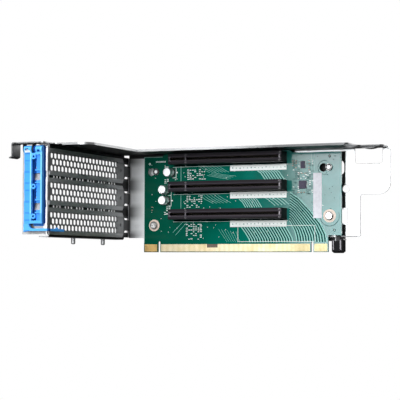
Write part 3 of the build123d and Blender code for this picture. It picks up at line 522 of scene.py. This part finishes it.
def blank_shade(tree):
    """Shade on the slot blanks' plates, deeper in the web between the holes and at their far
    ends. The tabs outside the window stay bright up to the retainer that covers them."""
    x, y, z = axes(tree, object_place(tree))
    turn_x = axes(tree, face_turn(tree))[0]
    web = span_mm(tree, pitch_distance(tree, z, GAP_LEVEL), 3.4, 4.2, 0.64, 0.82)
    inside = product(tree, span_mm(tree, x, -90.2, -89.3), span(tree, turn_x, -0.7, -0.4))
    covered = span_mm(tree, x, -91.5, -92.5, 0.0, 0.5)
    end = span_mm(tree, y, -8.0, -3.0, 0.0, 0.98)
    return largest(tree, product(tree, inside, largest(tree, web, end)), covered)


def turned(name, colour, light, roughness):
    """Turned or plated small metal part with fine scratches."""
    material, tree, shader = new_material(name)
    detail = use_group(tree, GRAIN, Scale=3000.0)
    join(tree, mixed(tree, detail.outputs["Mask"], colour, light), shader.inputs["Base Color"])
    smudged(tree, shader, detail, roughness, roughness + 0.1)
    shader.inputs["Metallic"].default_value = 1.0
    bump(tree, shader, detail.outputs["Height"], 0.2, 0.00001)
    return material


def board_material():
    """Solder resist with a weave: dark green at the left and paler at the right, partly from a
    copper plane and partly painted glare. A painted shadow, dark and matt, lies under each slot,
    where the housing keeps the light off."""
    material, tree, shader = new_material("solder_resist")
    place = object_place(tree)
    x, _, z = axes(tree, place)
    # Paler to the right: partly the copper plane under the resist, partly painted glare
    tone = ramp(
        tree,
        span_mm(tree, x, -73.0, 83.0),
        [
            (0.0, (0.0, 0.06, 0.034)),
            (0.3, (0.0, 0.085, 0.055)),
            (0.55, (0.0, 0.15, 0.11)),
            (0.72, (0.004, 0.14, 0.115)),
            (0.85, (0.02, 0.18, 0.165)),
            (1.0, (0.06, 0.24, 0.235)),
        ],
    )
    weave_x = node(tree, "ShaderNodeTexWave", in_1=900.0, in_2=0.6)
    weave_z = node(tree, "ShaderNodeTexWave", bands_direction="Z", in_1=900.0, in_2=0.6)
    join(tree, place, weave_x.inputs["Vector"])
    join(tree, place, weave_z.inputs["Vector"])
    weave = maths(tree, "ADD", weave_x.outputs["Fac"], weave_z.outputs["Fac"])
    detail = use_group(tree, GRAIN, Scale=1500.0, Smudge_Scale=60.0)
    plane = span(tree, detail.outputs["Smudge"], 0.0, 1.0, 0.0, 0.35)
    tone = mixed(tree, plane, tone, (0.0, 0.06, 0.038))
    # Painted shadow: dark band under each slot housing
    under = product(
        tree,
        band(tree, pitch_offset(tree, z, SLOT_LEVELS[-1]), -4.7 * MM, -3.5 * MM, 0.5 * MM),
        band(tree, x, SLOT_LEFT * MM, SLOT_RIGHT * MM, 0.4 * MM),
    )
    join(tree, mixed(tree, under, tone, (0.0, 0.004, 0.004)), shader.inputs["Base Color"])
    shader.inputs["Roughness"].default_value = 0.5
    shader.inputs["Specular IOR Level"].default_value = 0.0
    coat = span_mm(tree, x, 0.0, 50.0, 0.2, 0.9)
    coat = product(tree, coat, span(tree, under, 0.0, 1.0, 1.0, 0.0))
    join(tree, coat, shader.inputs["Coat Weight"])
    shader.inputs["Coat Roughness"].default_value = 0.1
    shader.inputs["Coat Tint"].default_value = (0.9, 0.96, 1.0, 1.0)
    bump(tree, shader, weave, 0.12, 0.00001)
    return material


def flat_mark_material(name, colour, roughness, metallic=0.0, specular=0.5):
    """Flat mark, a little worn: print and plating on the board, and painted highlights and painted
    shade on the parts.
    """
    material, tree, shader = new_material(name)
    detail = use_group(tree, GRAIN, Scale=2600.0)
    worn = tuple(0.8 * c for c in colour)
    join(tree, mixed(tree, detail.outputs["Mask"], worn, colour), shader.inputs["Base Color"])
    shader.inputs["Roughness"].default_value = roughness
    shader.inputs["Metallic"].default_value = metallic
    shader.inputs["Specular IOR Level"].default_value = specular
    return material


def contact_material():
    """Gold plating, more orange on the short left run of contacts and duller at the right."""
    material, tree, shader = new_material("gold_plating")
    x = axes(tree, object_place(tree))[0]
    detail = use_group(tree, GRAIN, Scale=1800.0, Smudge_Scale=110.0)
    pale = mixed(tree, detail.outputs["Smudge"], (0.78, 0.69, 0.5), (0.66, 0.55, 0.34))
    pale = mixed(tree, span_mm(tree, x, 28.0, 50.0), pale, (0.36, 0.31, 0.19))
    gold = mixed(tree, span_mm(tree, x, -60.5, -58.5), (0.72, 0.46, 0.18), pale)
    across = maths(tree, "PINGPONG", x, CONTACT_PITCH / 2 * MM)
    gap = span_mm(tree, across, 0.14, 0.2, 1.0, 0.0)
    join(tree, mixed(tree, gap, gold, (0.2, 0.16, 0.05)), shader.inputs["Base Color"])
    shader.inputs["Metallic"].default_value = 0.75
    smudged(tree, shader, detail, 0.28, 0.42)
    return material


MATERIALS = {
    "board": board_material(),
    "contact_plating": contact_material(),
    "slot_plastic": slot_material(),
    "frame_sheet": metal(
        "frame_sheet", (0.85, 0.86, 0.87), (0.91, 0.92, 0.93), 0.37, 0.06, frame_shade
    ),
    "window_sheet": metal(
        "window_sheet", (0.45, 0.45, 0.46), (0.52, 0.52, 0.53), 0.4, 0.06, window_shade, window_hole_highlights
    ),
    "blank_sheet": metal(
        "blank_sheet", (0.83, 0.83, 0.84), (0.9, 0.9, 0.91), 0.44, 0.06, blank_shade
    ),
    "steel_pin": turned("steel_pin", (0.42, 0.42, 0.43), (0.55, 0.55, 0.56), 0.5),
    "retainer_plastic": retainer_material(),
    "screw_steel": turned("screw_steel", (0.5, 0.5, 0.5), (0.62, 0.61, 0.6), 0.22),
    "capacitor_base": plastic(
        "capacitor_base", (0.006, 0.006, 0.006), (0.016, 0.016, 0.016), 0.4, specular=0.3
    ),
    "capacitor_can": turned("capacitor_can", (0.84, 0.85, 0.87), (0.93, 0.93, 0.95), 0.24),
    "chip_body": plastic("chip_body", (0.05, 0.046, 0.07), (0.09, 0.08, 0.12), 0.5, specular=0.1),
    "lead_metal": turned("lead_metal", (0.16, 0.17, 0.17), (0.24, 0.25, 0.25), 0.35),
    "passive_body": plastic("passive_body", (0.2, 0.14, 0.1), (0.3, 0.22, 0.16), 0.4),
    "label_paper": plastic("label_paper", (0.54, 0.54, 0.59), (0.66, 0.66, 0.71), 0.5, grain=500.0),
    "guide_plastic": plastic(
        "guide_plastic", (0.002, 0.002, 0.0025), (0.005, 0.005, 0.006), 0.25, specular=0.04
    ),
}
SILK = flat_mark_material("silk_ink", (0.86, 0.9, 0.88), 0.5)
TRACE = flat_mark_material("trace_resist", (0.22, 0.55, 0.48), 0.4)
# Painted highlight along the board's routed edges
RIM_HIGHLIGHT = flat_mark_material("routed_edge_highlight", (0.3, 0.52, 0.48), 0.5)
VALLEY = flat_mark_material("trace_valley", (0.0, 0.05, 0.045), 0.5, specular=0.0)
COPPER = flat_mark_material("bare_copper", (0.7, 0.57, 0.48), 0.4)
# Painted highlight on the studs' heads
STUD_HIGHLIGHT = flat_mark_material("stud_painted_highlight", (0.9, 0.92, 0.93), 0.3)
TICK = flat_mark_material("tick_ink", (0.16, 0.3, 0.27), 0.5)
# Painted highlights on the slots' wall edges and on the guide block's recess edges
RAIL_HIGHLIGHT = flat_mark_material("rail_edge_highlight", (0.15, 0.135, 0.16), 0.4)
END_HIGHLIGHT = flat_mark_material("slot_end_edge_highlight", (0.3, 0.28, 0.31), 0.4)
# Painted dark reflection on the plate's rolled edges
EDGE_REFLECTION = flat_mark_material("sheet_edge_painted_reflection", (0.3, 0.3, 0.31), 0.5)
# Painted shade round the studs' heads and in the slots' dimples
SHADE_MARK = flat_mark_material("painted_shade_mark", (0.015, 0.015, 0.018), 0.45)
FINGER = flat_mark_material("short_contacts", (0.085, 0.055, 0.035), 0.45)
# Gold plating darkened by painted shade, deep in the slots
SHADED_SPRING = flat_mark_material("spring_plating_painted_shade", (0.07, 0.06, 0.045), 0.4, metallic=1.0)


# The CAD nodes take their materials from the record's slots
slot_of = {part["node"]: part["material_slot"] for part in frame["record"]["subparts"]}
for name, item in frame["nodes"].items():
    item.data.materials.clear()
    item.data.materials.append(MATERIALS[slot_of[name]])


def mesh_object(name, points, faces, material, body="carrier"):
    """Mesh object at the origin from points in millimetres and a list of faces."""
    mesh = bpy.data.meshes.new(name)
    mesh.from_pydata([tuple(p) for p in np.asarray(points, float) * MM], [], faces)
    mesh.materials.append(material)
    mesh.validate()
    made = bpy.data.objects.new(name, mesh)
    bpy.context.scene.collection.objects.link(made)
    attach(made, body)
    return made


def slab(outline, front):
    """Closed plate from an outline in X and Z: each point is taken twice, at the front depth
    and one ink thickness behind it, and the sides join the two rings."""
    count = len(outline)
    flat = np.asarray(outline, float)
    near = np.column_stack([flat[:, 0], np.full(count, front), flat[:, 1]])
    far = near + (0.0, INK_THICKNESS, 0.0)
    faces = [tuple(range(count)), tuple(range(2 * count - 1, count - 1, -1))]
    faces += [(i, count + i, count + (i + 1) % count, (i + 1) % count) for i in range(count)]
    return np.vstack([near, far]), faces


def ring(x, z, outer, inner, front, turns=24, start=0.0, end=2 * math.pi):
    """Closed flat ring or arc: the points are (x + r cos t, z + r sin t) at the two radii r
    for an even run of angles t, at the front depth and one ink thickness behind it."""
    full = end - start > 6.28
    angles = np.linspace(start, end, turns, endpoint=not full)
    points = []
    for depth in (front, front + INK_THICKNESS):
        for radius in (outer, inner):
            across, up = x + radius * np.cos(angles), z + radius * np.sin(angles)
            points.append(np.column_stack([across, np.full(turns, depth), up]))
    faces = []
    for i in range(turns if full else turns - 1):
        j = (i + 1) % turns
        a, b, c, d = i, turns + i, 2 * turns + i, 3 * turns + i
        e, f, g, h = j, turns + j, 2 * turns + j, 3 * turns + j
        faces += [(a, b, f, e), (c, g, h, d), (a, e, g, c), (b, d, h, f)]
    if not full:
        last = turns - 1
        faces.append((0, 2 * turns, 3 * turns, turns))
        faces.append((last, turns + last, 3 * turns + last, 2 * turns + last))
    return np.vstack(points), faces


def ribbon(path, width, front):
    """Closed flat ribbon along a path in X and Z: each point moves half a width to either side
    along the mean normal of the two runs that meet there, lengthened so the width stays even."""
    path = np.asarray(path, float)
    runs = np.diff(path, axis=0)
    runs /= np.linalg.norm(runs, axis=1)[:, None]
    normals = np.column_stack([-runs[:, 1], runs[:, 0]])
    first = np.vstack([normals[:1], normals])
    second = np.vstack([normals, normals[-1:]])
    mean = first + second
    mean /= np.linalg.norm(mean, axis=1)[:, None]
    reach = width / 2 / np.maximum(np.sum(mean * first, axis=1), 0.4)
    left = path + mean * reach[:, None]
    right = path - mean * reach[:, None]
    return slab(np.vstack([right, left[::-1]]), front)


def bar(x0, x1, z0, z1, front):
    """Closed flat rectangle of ink between two corners."""
    return slab([(x0, z0), (x1, z0), (x1, z1), (x0, z1)], front)


def gather(parts):
    """One list of points and faces from several."""
    points, faces, start = [], [], 0
    for part_points, part_faces in parts:
        points.append(part_points)
        faces += [tuple(start + i for i in face) for face in part_faces]
        start += len(part_points)
    return np.vstack(points), faces


def flat_object(name, parts, material):
    """One mesh object from several flat marks."""
    points, faces = gather(parts)
    return mesh_object(name, points, faces, material)


def level_line(x0, x1, z, width):
    """Level line of ink that reaches half a width past its ends."""
    half = width / 2
    return bar(x0 - half, x1 + half, z - half, z + half, INK)


def upright_line(x, z0, z1, width):
    """Upright line of ink that stops half a width before its ends."""
    half = width / 2
    return bar(x - half, x + half, z0 + half, z1 - half, INK)


# White ink with its ticks, and small lands: bars below the slots, outlines and rows of marks
BAR_LEFT, BAR_RIGHT, TICK_PITCH = -2.7, 41.2, 2.9
BAR_LEVELS = ((59.2, 63.4), (39.1, 43.7), (18.3, 22.9))
BOX_LEFT, BOX_RIGHT, BOX_LOW, BOX_HIGH, BOX_LINE = 3.5, 62.6, 7.6, 19.0, 0.25
CAN_PLACES = ((-50.4, 59.1), (-54.4, 46.2), (-54.4, 38.3))
CAN_REACH, CAN_START, CAN_SIDE, CAN_LINE = 3.9, 1.4, 4.2, 0.3
ROW_PITCH, MARK_PITCH, MARK_HEIGHT, PAD_WIDTH, PAD_HEIGHT = 1.35, 1.9, 0.45, 0.45, 0.9
chooser = np.random.default_rng(7)
silk, ticks, lands = [], [], []
for low, high in BAR_LEVELS:
    silk.append(bar(BAR_LEFT, BAR_RIGHT, low, high, INK))
    for x in np.arange(-1.0, 40.0, TICK_PITCH):
        middle = (low + high) / 2 + chooser.uniform(-0.3, 0.3)
        wide, tall = chooser.uniform(0.3, 0.9), chooser.uniform(0.35, 1.1)
        ticks.append(bar(x, x + wide, middle - tall / 2, middle + tall / 2, TICK_INK))
silk += [level_line(BOX_LEFT, BOX_RIGHT, z, BOX_LINE) for z in (BOX_LOW, BOX_HIGH)]
silk += [upright_line(x, BOX_LOW, BOX_HIGH, BOX_LINE) for x in (BOX_LEFT, BOX_RIGHT)]
silk.append(level_line(61.0, 69.4, 33.0, 0.12))
for level in SLOT_LEVELS:
    silk.append(level_line(SLOT_LEFT - 0.9, SLOT_RIGHT + 0.9, level - 5.25, 0.18))
for can_x, can_z in CAN_PLACES:
    side = can_x + CAN_SIDE
    silk.append(upright_line(side, can_z - CAN_REACH, can_z + CAN_REACH, CAN_LINE))
    for z in (can_z + CAN_REACH, can_z - CAN_REACH):
        silk.append(ribbon([(can_x + CAN_START, z), (side, z)], CAN_LINE, INK))
    silk.append(ring(can_x + 5.0, can_z, 0.55, 0.05, INK, turns=12))
lands.append(ring(*RIGHT_SCREW, 7.4, 7.05, INK, turns=48, start=2.4, end=6.6))
lands.append(ring(69.9, STUD_LEVEL, 5.1, 4.75, INK, turns=30, start=1.2, end=5.1))
# Left, right, low and high limits of the fields of marks
mark_fields = (
    (-37.0, -23.5, 53.6, 60.9),
    (-39.5, -24.5, 33.0, 41.4),
    (-38.0, -26.0, 9.4, 20.6),
    (-55.6, -52.6, 51.0, 64.0),
    (-56.0, -50.6, 28.0, 34.0),
    (46.0, 51.0, 41.0, 66.0),
    (56.4, 60.4, 41.0, 66.0),
    (49.6, 57.5, 52.4, 57.0),
)
for x0, x1, z0, z1 in mark_fields:
    at_left = x0 < 0
    for z in np.arange(z0, z1, ROW_PITCH):
        for x in np.arange(x0, x1, MARK_PITCH):
            choice = chooser.uniform()
            if choice < (0.45 if at_left else 0.25):
                silk.append(bar(x, x + chooser.uniform(0.9, 1.6), z, z + MARK_HEIGHT, INK))
            elif choice < 0.6:
                pads = silk if at_left else lands
                for left in (x, x + 2 * PAD_WIDTH):
                    pads.append(bar(left, left + PAD_WIDTH, z, z + PAD_HEIGHT, INK))
for x in np.arange(-62.8, -54.6, 1.05):
    silk.append(bar(x, x + 0.6, 66.9, 68.0, INK))
flat_object("board_silk", silk, SILK)
flat_object("silk_ticks", ticks, TICK)
flat_object("small_lands", lands, VALLEY)


# Painted highlights: pale rims where the board's routed edges catch the light
BOARD_LEFT, BOARD_RIGHT, BOARD_TOP = -72.45, 82.25, 71.15
RIM_WIDTH, RIGHT_RIM_WIDTH, THIN_RIM_WIDTH = 0.35, 0.3, 0.18
rims = [
    bar(BOARD_LEFT, BOARD_LEFT + RIM_WIDTH, 7.0, BOARD_TOP, INK),
    bar(BOARD_LEFT + RIM_WIDTH, -57.4, BOARD_TOP - RIM_WIDTH, BOARD_TOP, INK),
    bar(45.8, BOARD_RIGHT, BOARD_TOP - THIN_RIM_WIDTH, BOARD_TOP, INK),
    bar(BOARD_RIGHT - RIGHT_RIM_WIDTH, BOARD_RIGHT, 11.0, BOARD_TOP - RIM_WIDTH, INK),
]
flat_object("board_rims", rims, RIM_HIGHLIGHT)


# Traces under the resist, seen as paler lines


def fan(first, last, count, width, between=False):
    """Ribbons between two polylines: each is the straight blend of the first and the last one,
    point by point, at an even step, or at the half steps between those."""
    first, last = np.asarray(first, float), np.asarray(last, float)
    steps = np.linspace(0.0, 1.0, count)
    if between:
        steps = (steps[1:] + steps[:-1]) / 2
    return [ribbon(first + (last - first) * t, width, LOWER_INK) for t in steps]


# Each fan: its first and last polyline, and the count of its traces, their width and the width
# of the dark valleys between them, or nought where there are none
fans = (
    (
        [(18.8, 58.9), (21.2, 57.4), (24.8, 52.4)],
        [(33.6, 59.0), (35.6, 57.6), (39.4, 52.2)],
        (8, 0.7, 0.4),
    ),
    (
        [(4.4, 38.6), (7.0, 36.4), (9.6, 32.4)],
        [(17.2, 39.0), (18.6, 37.6), (22.0, 32.4)],
        (8, 0.6, 0.4),
    ),
    (
        [(44.0, 42.6), (50.4, 38.2), (58.6, 29.8), (66.6, 20.4), (70.6, 12.6), (71.4, 7.2)],
        [(43.4, 22.4), (44.6, 20.8), (46.2, 17.6), (47.6, 14.6), (48.6, 10.8), (49.0, 7.2)],
        (12, 0.75, 1.0),
    ),
    (
        [(6.0, 18.4), (9.6, 13.8), (12.4, 9.4), (13.0, 7.2)],
        [(40.6, 18.2), (43.0, 14.2), (45.4, 10.0), (46.0, 7.2)],
        (17, 0.75, 1.0),
    ),
    (
        [(24.5, 39.2), (27.4, 37.6), (32.6, 33.4)],
        [(36.5, 39.2), (39.2, 37.4), (43.0, 34.2)],
        (5, 0.4, 0),
    ),
    (
        [(-28.0, 63.8), (-24.0, 61.0), (-19.0, 58.4)],
        [(-12.0, 63.2), (-8.0, 60.6), (-3.6, 58.4)],
        (7, 0.2, 0),
    ),
    (
        [(-21.0, 56.4), (-12.0, 54.6), (-4.0, 53.2)],
        [(-16.0, 58.4), (-8.0, 56.6), (2.0, 55.4)],
        (4, 0.18, 0),
    ),
    (
        [(-28.0, 43.0), (-23.0, 39.0), (-16.0, 35.6)],
        [(-14.0, 43.0), (-8.0, 39.0), (-2.0, 36.0)],
        (6, 0.2, 0),
    ),
    ([(-40.5, 22.4), (-48.7, 14.6)], [(-37.0, 22.4), (-46.5, 12.6)], (2, 0.22, 0)),
    ([(-42.2, 63.5), (-42.2, 52.6)], [(-42.2, 43.2), (-42.2, 32.4)], (2, 0.3, 0)),
    ([(-12.0, 17.0), (-5.0, 7.4)], [(2.0, 15.0), (5.0, 7.4)], (7, 0.16, 0)),
    ([(60.0, 70.0), (60.0, 58.0)], [(62.2, 70.0), (62.2, 58.0)], (2, 0.2, 0)),
)
traces, valleys = [], []
for first, last, (count, width, valley) in fans:
    traces += fan(first, last, count, width)
    if valley:
        valleys += fan(first, last, count, valley, between=True)
flat_object("trace_valleys", valleys, VALLEY)
flat_object("board_traces", traces, TRACE)


# Bare copper rings round the screws, and the rings and open middles of the vias
copper = [ring(*screw, outer, 2.95, LOWER_INK, turns=48) for screw, outer in SCREW_LANDS]
flat_object("copper_rings", copper, COPPER)

vias = [ring(-67.9, 66.0, 0.85, 0.45, INK, turns=16)]
vias += [ring(*via, 0.35, 0.02, INK, turns=12) for via in LARGE_VIAS]
vias += [
    ring(chooser.uniform(-70, 44), chooser.uniform(10, 70), 0.3, 0.12, LOWER_INK, turns=8)
    for _ in range(120)
]
flat_object("via_rings", vias, SILK)
open_vias = [
    ring(chooser.uniform(46, 78), chooser.uniform(28, 70), 0.36, 0.02, LOWER_INK, turns=8)
    for _ in range(46)
]
open_vias += [ring(*via, 0.95, 0.4, INK, turns=16) for via in LARGE_VIAS]
flat_object("open_vias", open_vias, VALLEY)


# Painted highlights on the middles and painted shade round the rims of the hanging studs' heads
middles = [ring(x, STUD_LEVEL, 1.25, 0.02, STUD_INK, turns=20) for x in STUD_PLACES]
collars = [ring(x, STUD_LEVEL, 2.3, 1.35, STUD_INK, turns=24) for x in STUD_PLACES]
flat_object("stud_middles", middles, STUD_HIGHLIGHT)
flat_object("stud_collars", collars, SHADE_MARK)


# Brown patch of the short contacts
flat_object("short_finger_patch", [bar(-20.9, -12.6, 3.5, 5.9, INK)], FINGER)


def spring_rows():
    """Contact springs of the three slots: one profile across the slot, bowed towards the middle
    as a half sine, swept over the contact's width, and repeated at a 1 mm pitch on both sides."""
    steps = 7
    s = np.linspace(0.0, 1.0, steps)
    depth = SLOT_FACE + 1.5 + 6.2 * s
    bow = SLOT_MOUTH / 2 - 0.08 - 0.3 * np.sin(math.pi * s)
    starts = np.concatenate(
        [np.arange(SLOT_LEFT + 2.6, KEY_MIDDLE - 1.4, 1.0), np.arange(KEY_MIDDLE + 1.4, 39.0, 1.0)]
    )
    parts = []
    for level in SLOT_LEVELS:
        for side in (-1, 1):
            for x in starts:
                rows = []
                for dx, inset in ((-0.25, 0.0), (0.25, 0.0), (0.25, 0.12), (-0.25, 0.12)):
                    z = level + side * (bow - inset)
                    rows.append(np.column_stack([np.full(steps, x + dx), depth, z]))
                faces = []
                for i in range(4):
                    j = (i + 1) % 4
                    for k in range(steps - 1):
                        quad = (i * steps + k, j * steps + k, j * steps + k + 1, i * steps + k + 1)
                        faces.append(quad if side > 0 else quad[::-1])
                first = (0, 3 * steps, 2 * steps, steps)
                last = (steps - 1, 2 * steps - 1, 3 * steps - 1, 4 * steps - 1)
                faces += [first if side > 0 else first[::-1], last if side > 0 else last[::-1]]
                parts.append((np.vstack(rows), faces))
    return gather(parts)


# Contact springs, darkened with painted shade deep inside the slots
points, faces = spring_rows()
mesh_object("slot_springs", points, faces, SHADED_SPRING)


# Painted dark reflection on the rolled edges of the punched back plate, drawn as grey lines: the
# step beside the guide, the lobe and the notch in its top, the round hole, and the lanced opening
EDGE_WIDTH = 0.4
PLATE_FOOT, LOBE_FOOT, NOTCH_FOOT, NOTCH_TOP = 10.8, 40.8, 62.3, 73.0
STEP_RIGHT, LOBE_RIGHT = 94.0, 116.1
NOTCH_LEFT, NOTCH_RIGHT = 90.25, 110.5
STEP_BEND, LOBE_BEND, NOTCH_BEND = 1.7, 8.4, 1.5
ROUND_HOLE, HOLE_RADIUS = (83.8, 45.0), 2.8
LANCED_LEFT, LANCED_RIGHT, LANCED_LOW, LANCED_HIGH = 82.5, 84.9, 20.4, 30.4
QUARTER = math.pi / 2


def edge_level(x0, x1, z, above, below=0.0):
    """Level line of an edge, so many widths above and below its height."""
    return bar(x0, x1, z - below * EDGE_WIDTH, z + above * EDGE_WIDTH, PLATE_INK)


def edge_upright(x, z0, z1, side):
    """Upright line of an edge, one width to the left (-1) or to the right (1) of its place."""
    left, right = sorted((x, x + side * EDGE_WIDTH))
    return bar(left, right, z0, z1, PLATE_INK)


def edge_bend(x, z, outer, turns, quarter, grow=0.0):
    """Quarter ring of an edge round a bend's centre, from so many quarter turns."""
    start = quarter * QUARTER
    inner = outer + (grow - 1) * EDGE_WIDTH
    outer += grow * EDGE_WIDTH
    return ring(x, z, outer, inner, PLATE_INK, turns, start, start + QUARTER)


edges = [
    edge_level(80.0, STEP_RIGHT - STEP_BEND, PLATE_FOOT, 2),
    edge_bend(STEP_RIGHT - STEP_BEND, PLATE_FOOT + STEP_BEND, STEP_BEND, 8, -1),
    edge_upright(STEP_RIGHT, PLATE_FOOT + STEP_BEND, LOBE_FOOT - STEP_BEND, -1),
    edge_bend(STEP_RIGHT + STEP_BEND, LOBE_FOOT - STEP_BEND, STEP_BEND, 8, 1, grow=1),
    edge_level(STEP_RIGHT + STEP_BEND, LOBE_RIGHT - LOBE_BEND, LOBE_FOOT, 1.5),
    edge_bend(LOBE_RIGHT - LOBE_BEND, LOBE_FOOT + LOBE_BEND, LOBE_BEND, 14, -1),
    edge_upright(LOBE_RIGHT, LOBE_FOOT + LOBE_BEND, 72.0, -1),
    edge_upright(NOTCH_LEFT, NOTCH_FOOT + NOTCH_BEND, NOTCH_TOP, -1),
    edge_bend(NOTCH_LEFT + NOTCH_BEND, NOTCH_FOOT + NOTCH_BEND, NOTCH_BEND, 8, 2, grow=1),
    edge_level(NOTCH_LEFT + NOTCH_BEND, NOTCH_RIGHT - NOTCH_BEND, NOTCH_FOOT, 0, 1),
    edge_bend(NOTCH_RIGHT - NOTCH_BEND, NOTCH_FOOT + NOTCH_BEND, NOTCH_BEND, 8, -1, grow=1),
    edge_upright(NOTCH_RIGHT, NOTCH_FOOT + NOTCH_BEND, NOTCH_TOP, 1),
    ring(*ROUND_HOLE, HOLE_RADIUS + EDGE_WIDTH, HOLE_RADIUS, PLATE_INK, 24),
    edge_upright(LANCED_RIGHT, LANCED_LOW, LANCED_HIGH, 1),
    edge_level(LANCED_LEFT, LANCED_RIGHT + EDGE_WIDTH, LANCED_HIGH, 2),
    edge_level(LANCED_LEFT, LANCED_RIGHT + EDGE_WIDTH, LANCED_LOW, 0, 2),
]
flat_object("plate_edges", edges, EDGE_REFLECTION)


# Painted highlights on the edges of the guide block's recess
glints = [bar(x0, x1, 1.6, 8.6, GUIDE_INK) for x0, x1 in ((74.6, 75.2), (79.8, 80.7))]
flat_object("guide_glints", glints, END_HIGHLIGHT)


# Painted highlights on the edges of the slots' dividing and end walls, and painted shade in the
# small moulded dimples beside them
walls, ends, dimples = [], [], []
for level in SLOT_LEVELS:
    for x, half, reach, marks in (
        (KEY_MIDDLE, 0.3, 0.95, walls),
        (SLOT_RIGHT - 1.5, 0.4, 1.1, ends),
    ):
        marks.append(bar(x - half, x + half, level - reach, level + reach, SLOT_INK))
        for side in (-1, 1):
            middle = level + 2.3 * side
            start = 0.35 if side > 0 else math.pi + 0.35
            marks.append(ring(x, middle, 0.95, 0.7, SLOT_INK, 14, start, start + 2.4))
            dimples.append(ring(x, middle, 0.62, 0.02, SLOT_INK, turns=12))
    walls.append(ring(SLOT_LEFT + 2.6, level, 1.9, 1.55, SLOT_INK, 16, 1.9, 4.4))
flat_object("slot_wall_edges", walls, RAIL_HIGHLIGHT)
flat_object("slot_end_edges", ends, END_HIGHLIGHT)
flat_object("slot_dimples", dimples, SHADE_MARK)


# Camera, floor, world and lights


def area_light(name, place, target, width, height, power, colour=(1.0, 1.0, 1.0)):
    """Rectangular light at a place in metres, turned to a target."""
    lamp = bpy.data.lights.new(name, "AREA")
    lamp.shape = "RECTANGLE"
    lamp.size = width
    lamp.size_y = height
    lamp.energy = power
    lamp.color = colour
    made = bpy.data.objects.new(name, lamp)
    made.location = place
    made.rotation_euler = (Vector(target) - Vector(place)).to_track_quat("-Z", "Y").to_euler()
    bpy.context.scene.collection.objects.link(made)
    return made


def seen_white(name, strength, dark):
    """Material that is white to the camera, and pale grey to everything that it lights."""
    material, tree, shader = new_material(name)
    path = node(tree, "ShaderNodeLightPath")
    glow = node(tree, "ShaderNodeEmission")
    glow.inputs["Strength"].default_value = strength
    choose = node(tree, "ShaderNodeMixShader")
    shader.inputs["Base Color"].default_value = (dark, dark, dark, 1.0)
    shader.inputs["Roughness"].default_value = 0.9
    join(tree, path.outputs["Is Camera Ray"], choose.inputs[0])
    join(tree, shader.outputs[0], choose.inputs[1])
    join(tree, glow.outputs[0], choose.inputs[2])
    join(tree, choose.outputs[0], tree.nodes["Material Output"].inputs["Surface"])
    return material


camera_data = bpy.data.cameras.new("camera")
camera_data.lens = CAMERA_LENS
camera_data.sensor_width = 36.0
camera_data.clip_start = 0.01
camera = bpy.data.objects.new("camera", camera_data)
camera.location = CAMERA_PLACE
camera.rotation_mode = "QUATERNION"
turn = Euler((0.0, 0.0, math.radians(CAMERA_YAW))).to_quaternion()
tilt = Euler((math.radians(90 + CAMERA_PITCH), 0.0, 0.0)).to_quaternion()
roll = Euler((0.0, 0.0, math.radians(CAMERA_ROLL))).to_quaternion()
camera.rotation_quaternion = turn @ tilt @ roll
bpy.context.scene.collection.objects.link(camera)
bpy.context.scene.camera = camera
bpy.context.scene.view_settings.view_transform = "Standard"

floor_mesh = bpy.data.meshes.new("floor")
floor_corners = [
    (x * FLOOR_REACH, y * FLOOR_REACH, FLOOR_LEVEL) for x, y in ((-1, -1), (1, -1), (1, 1), (-1, 1))
]
floor_mesh.from_pydata(floor_corners, [], [(0, 1, 2, 3)])
floor_mesh.materials.append(seen_white("floor", 1.0, 0.02))
floor = bpy.data.objects.new("floor", floor_mesh)
bpy.context.scene.collection.objects.link(floor)

world = bpy.data.worlds.new("studio")
world.use_nodes = True
bpy.context.scene.world = world
sky = world.node_tree
back = sky.nodes["Background"]
upward = axes(sky, node(sky, "ShaderNodeTexCoord").outputs["Generated"])[2]
height = span(sky, upward, 0.05, 0.5, 0.02, 0.9)
path = node(sky, "ShaderNodeLightPath")
strength = node(sky, "ShaderNodeMix", data_type="FLOAT")
join(sky, path.outputs["Is Camera Ray"], strength.inputs[0])
join(sky, height, strength.inputs[2])
strength.inputs[3].default_value = 1.0
join(sky, strength.outputs[0], back.inputs["Strength"])
back.inputs["Color"].default_value = (1.0, 1.0, 1.0, 1.0)

area_light("key", (0.05, -1.54, 0.14), (0.0, 0.0, 0.04), 1.16, 0.9, 31.0, (0.97, 0.99, 1.0))
area_light("top", (0.0, -0.6, 1.2), (0.0, 0.0, 0.04), 1.2, 0.8, 8.0)
area_light("back", (0.5, 1.5, 0.6), (0.0, 0.0, 0.04), 1.4, 0.9, 9.0)
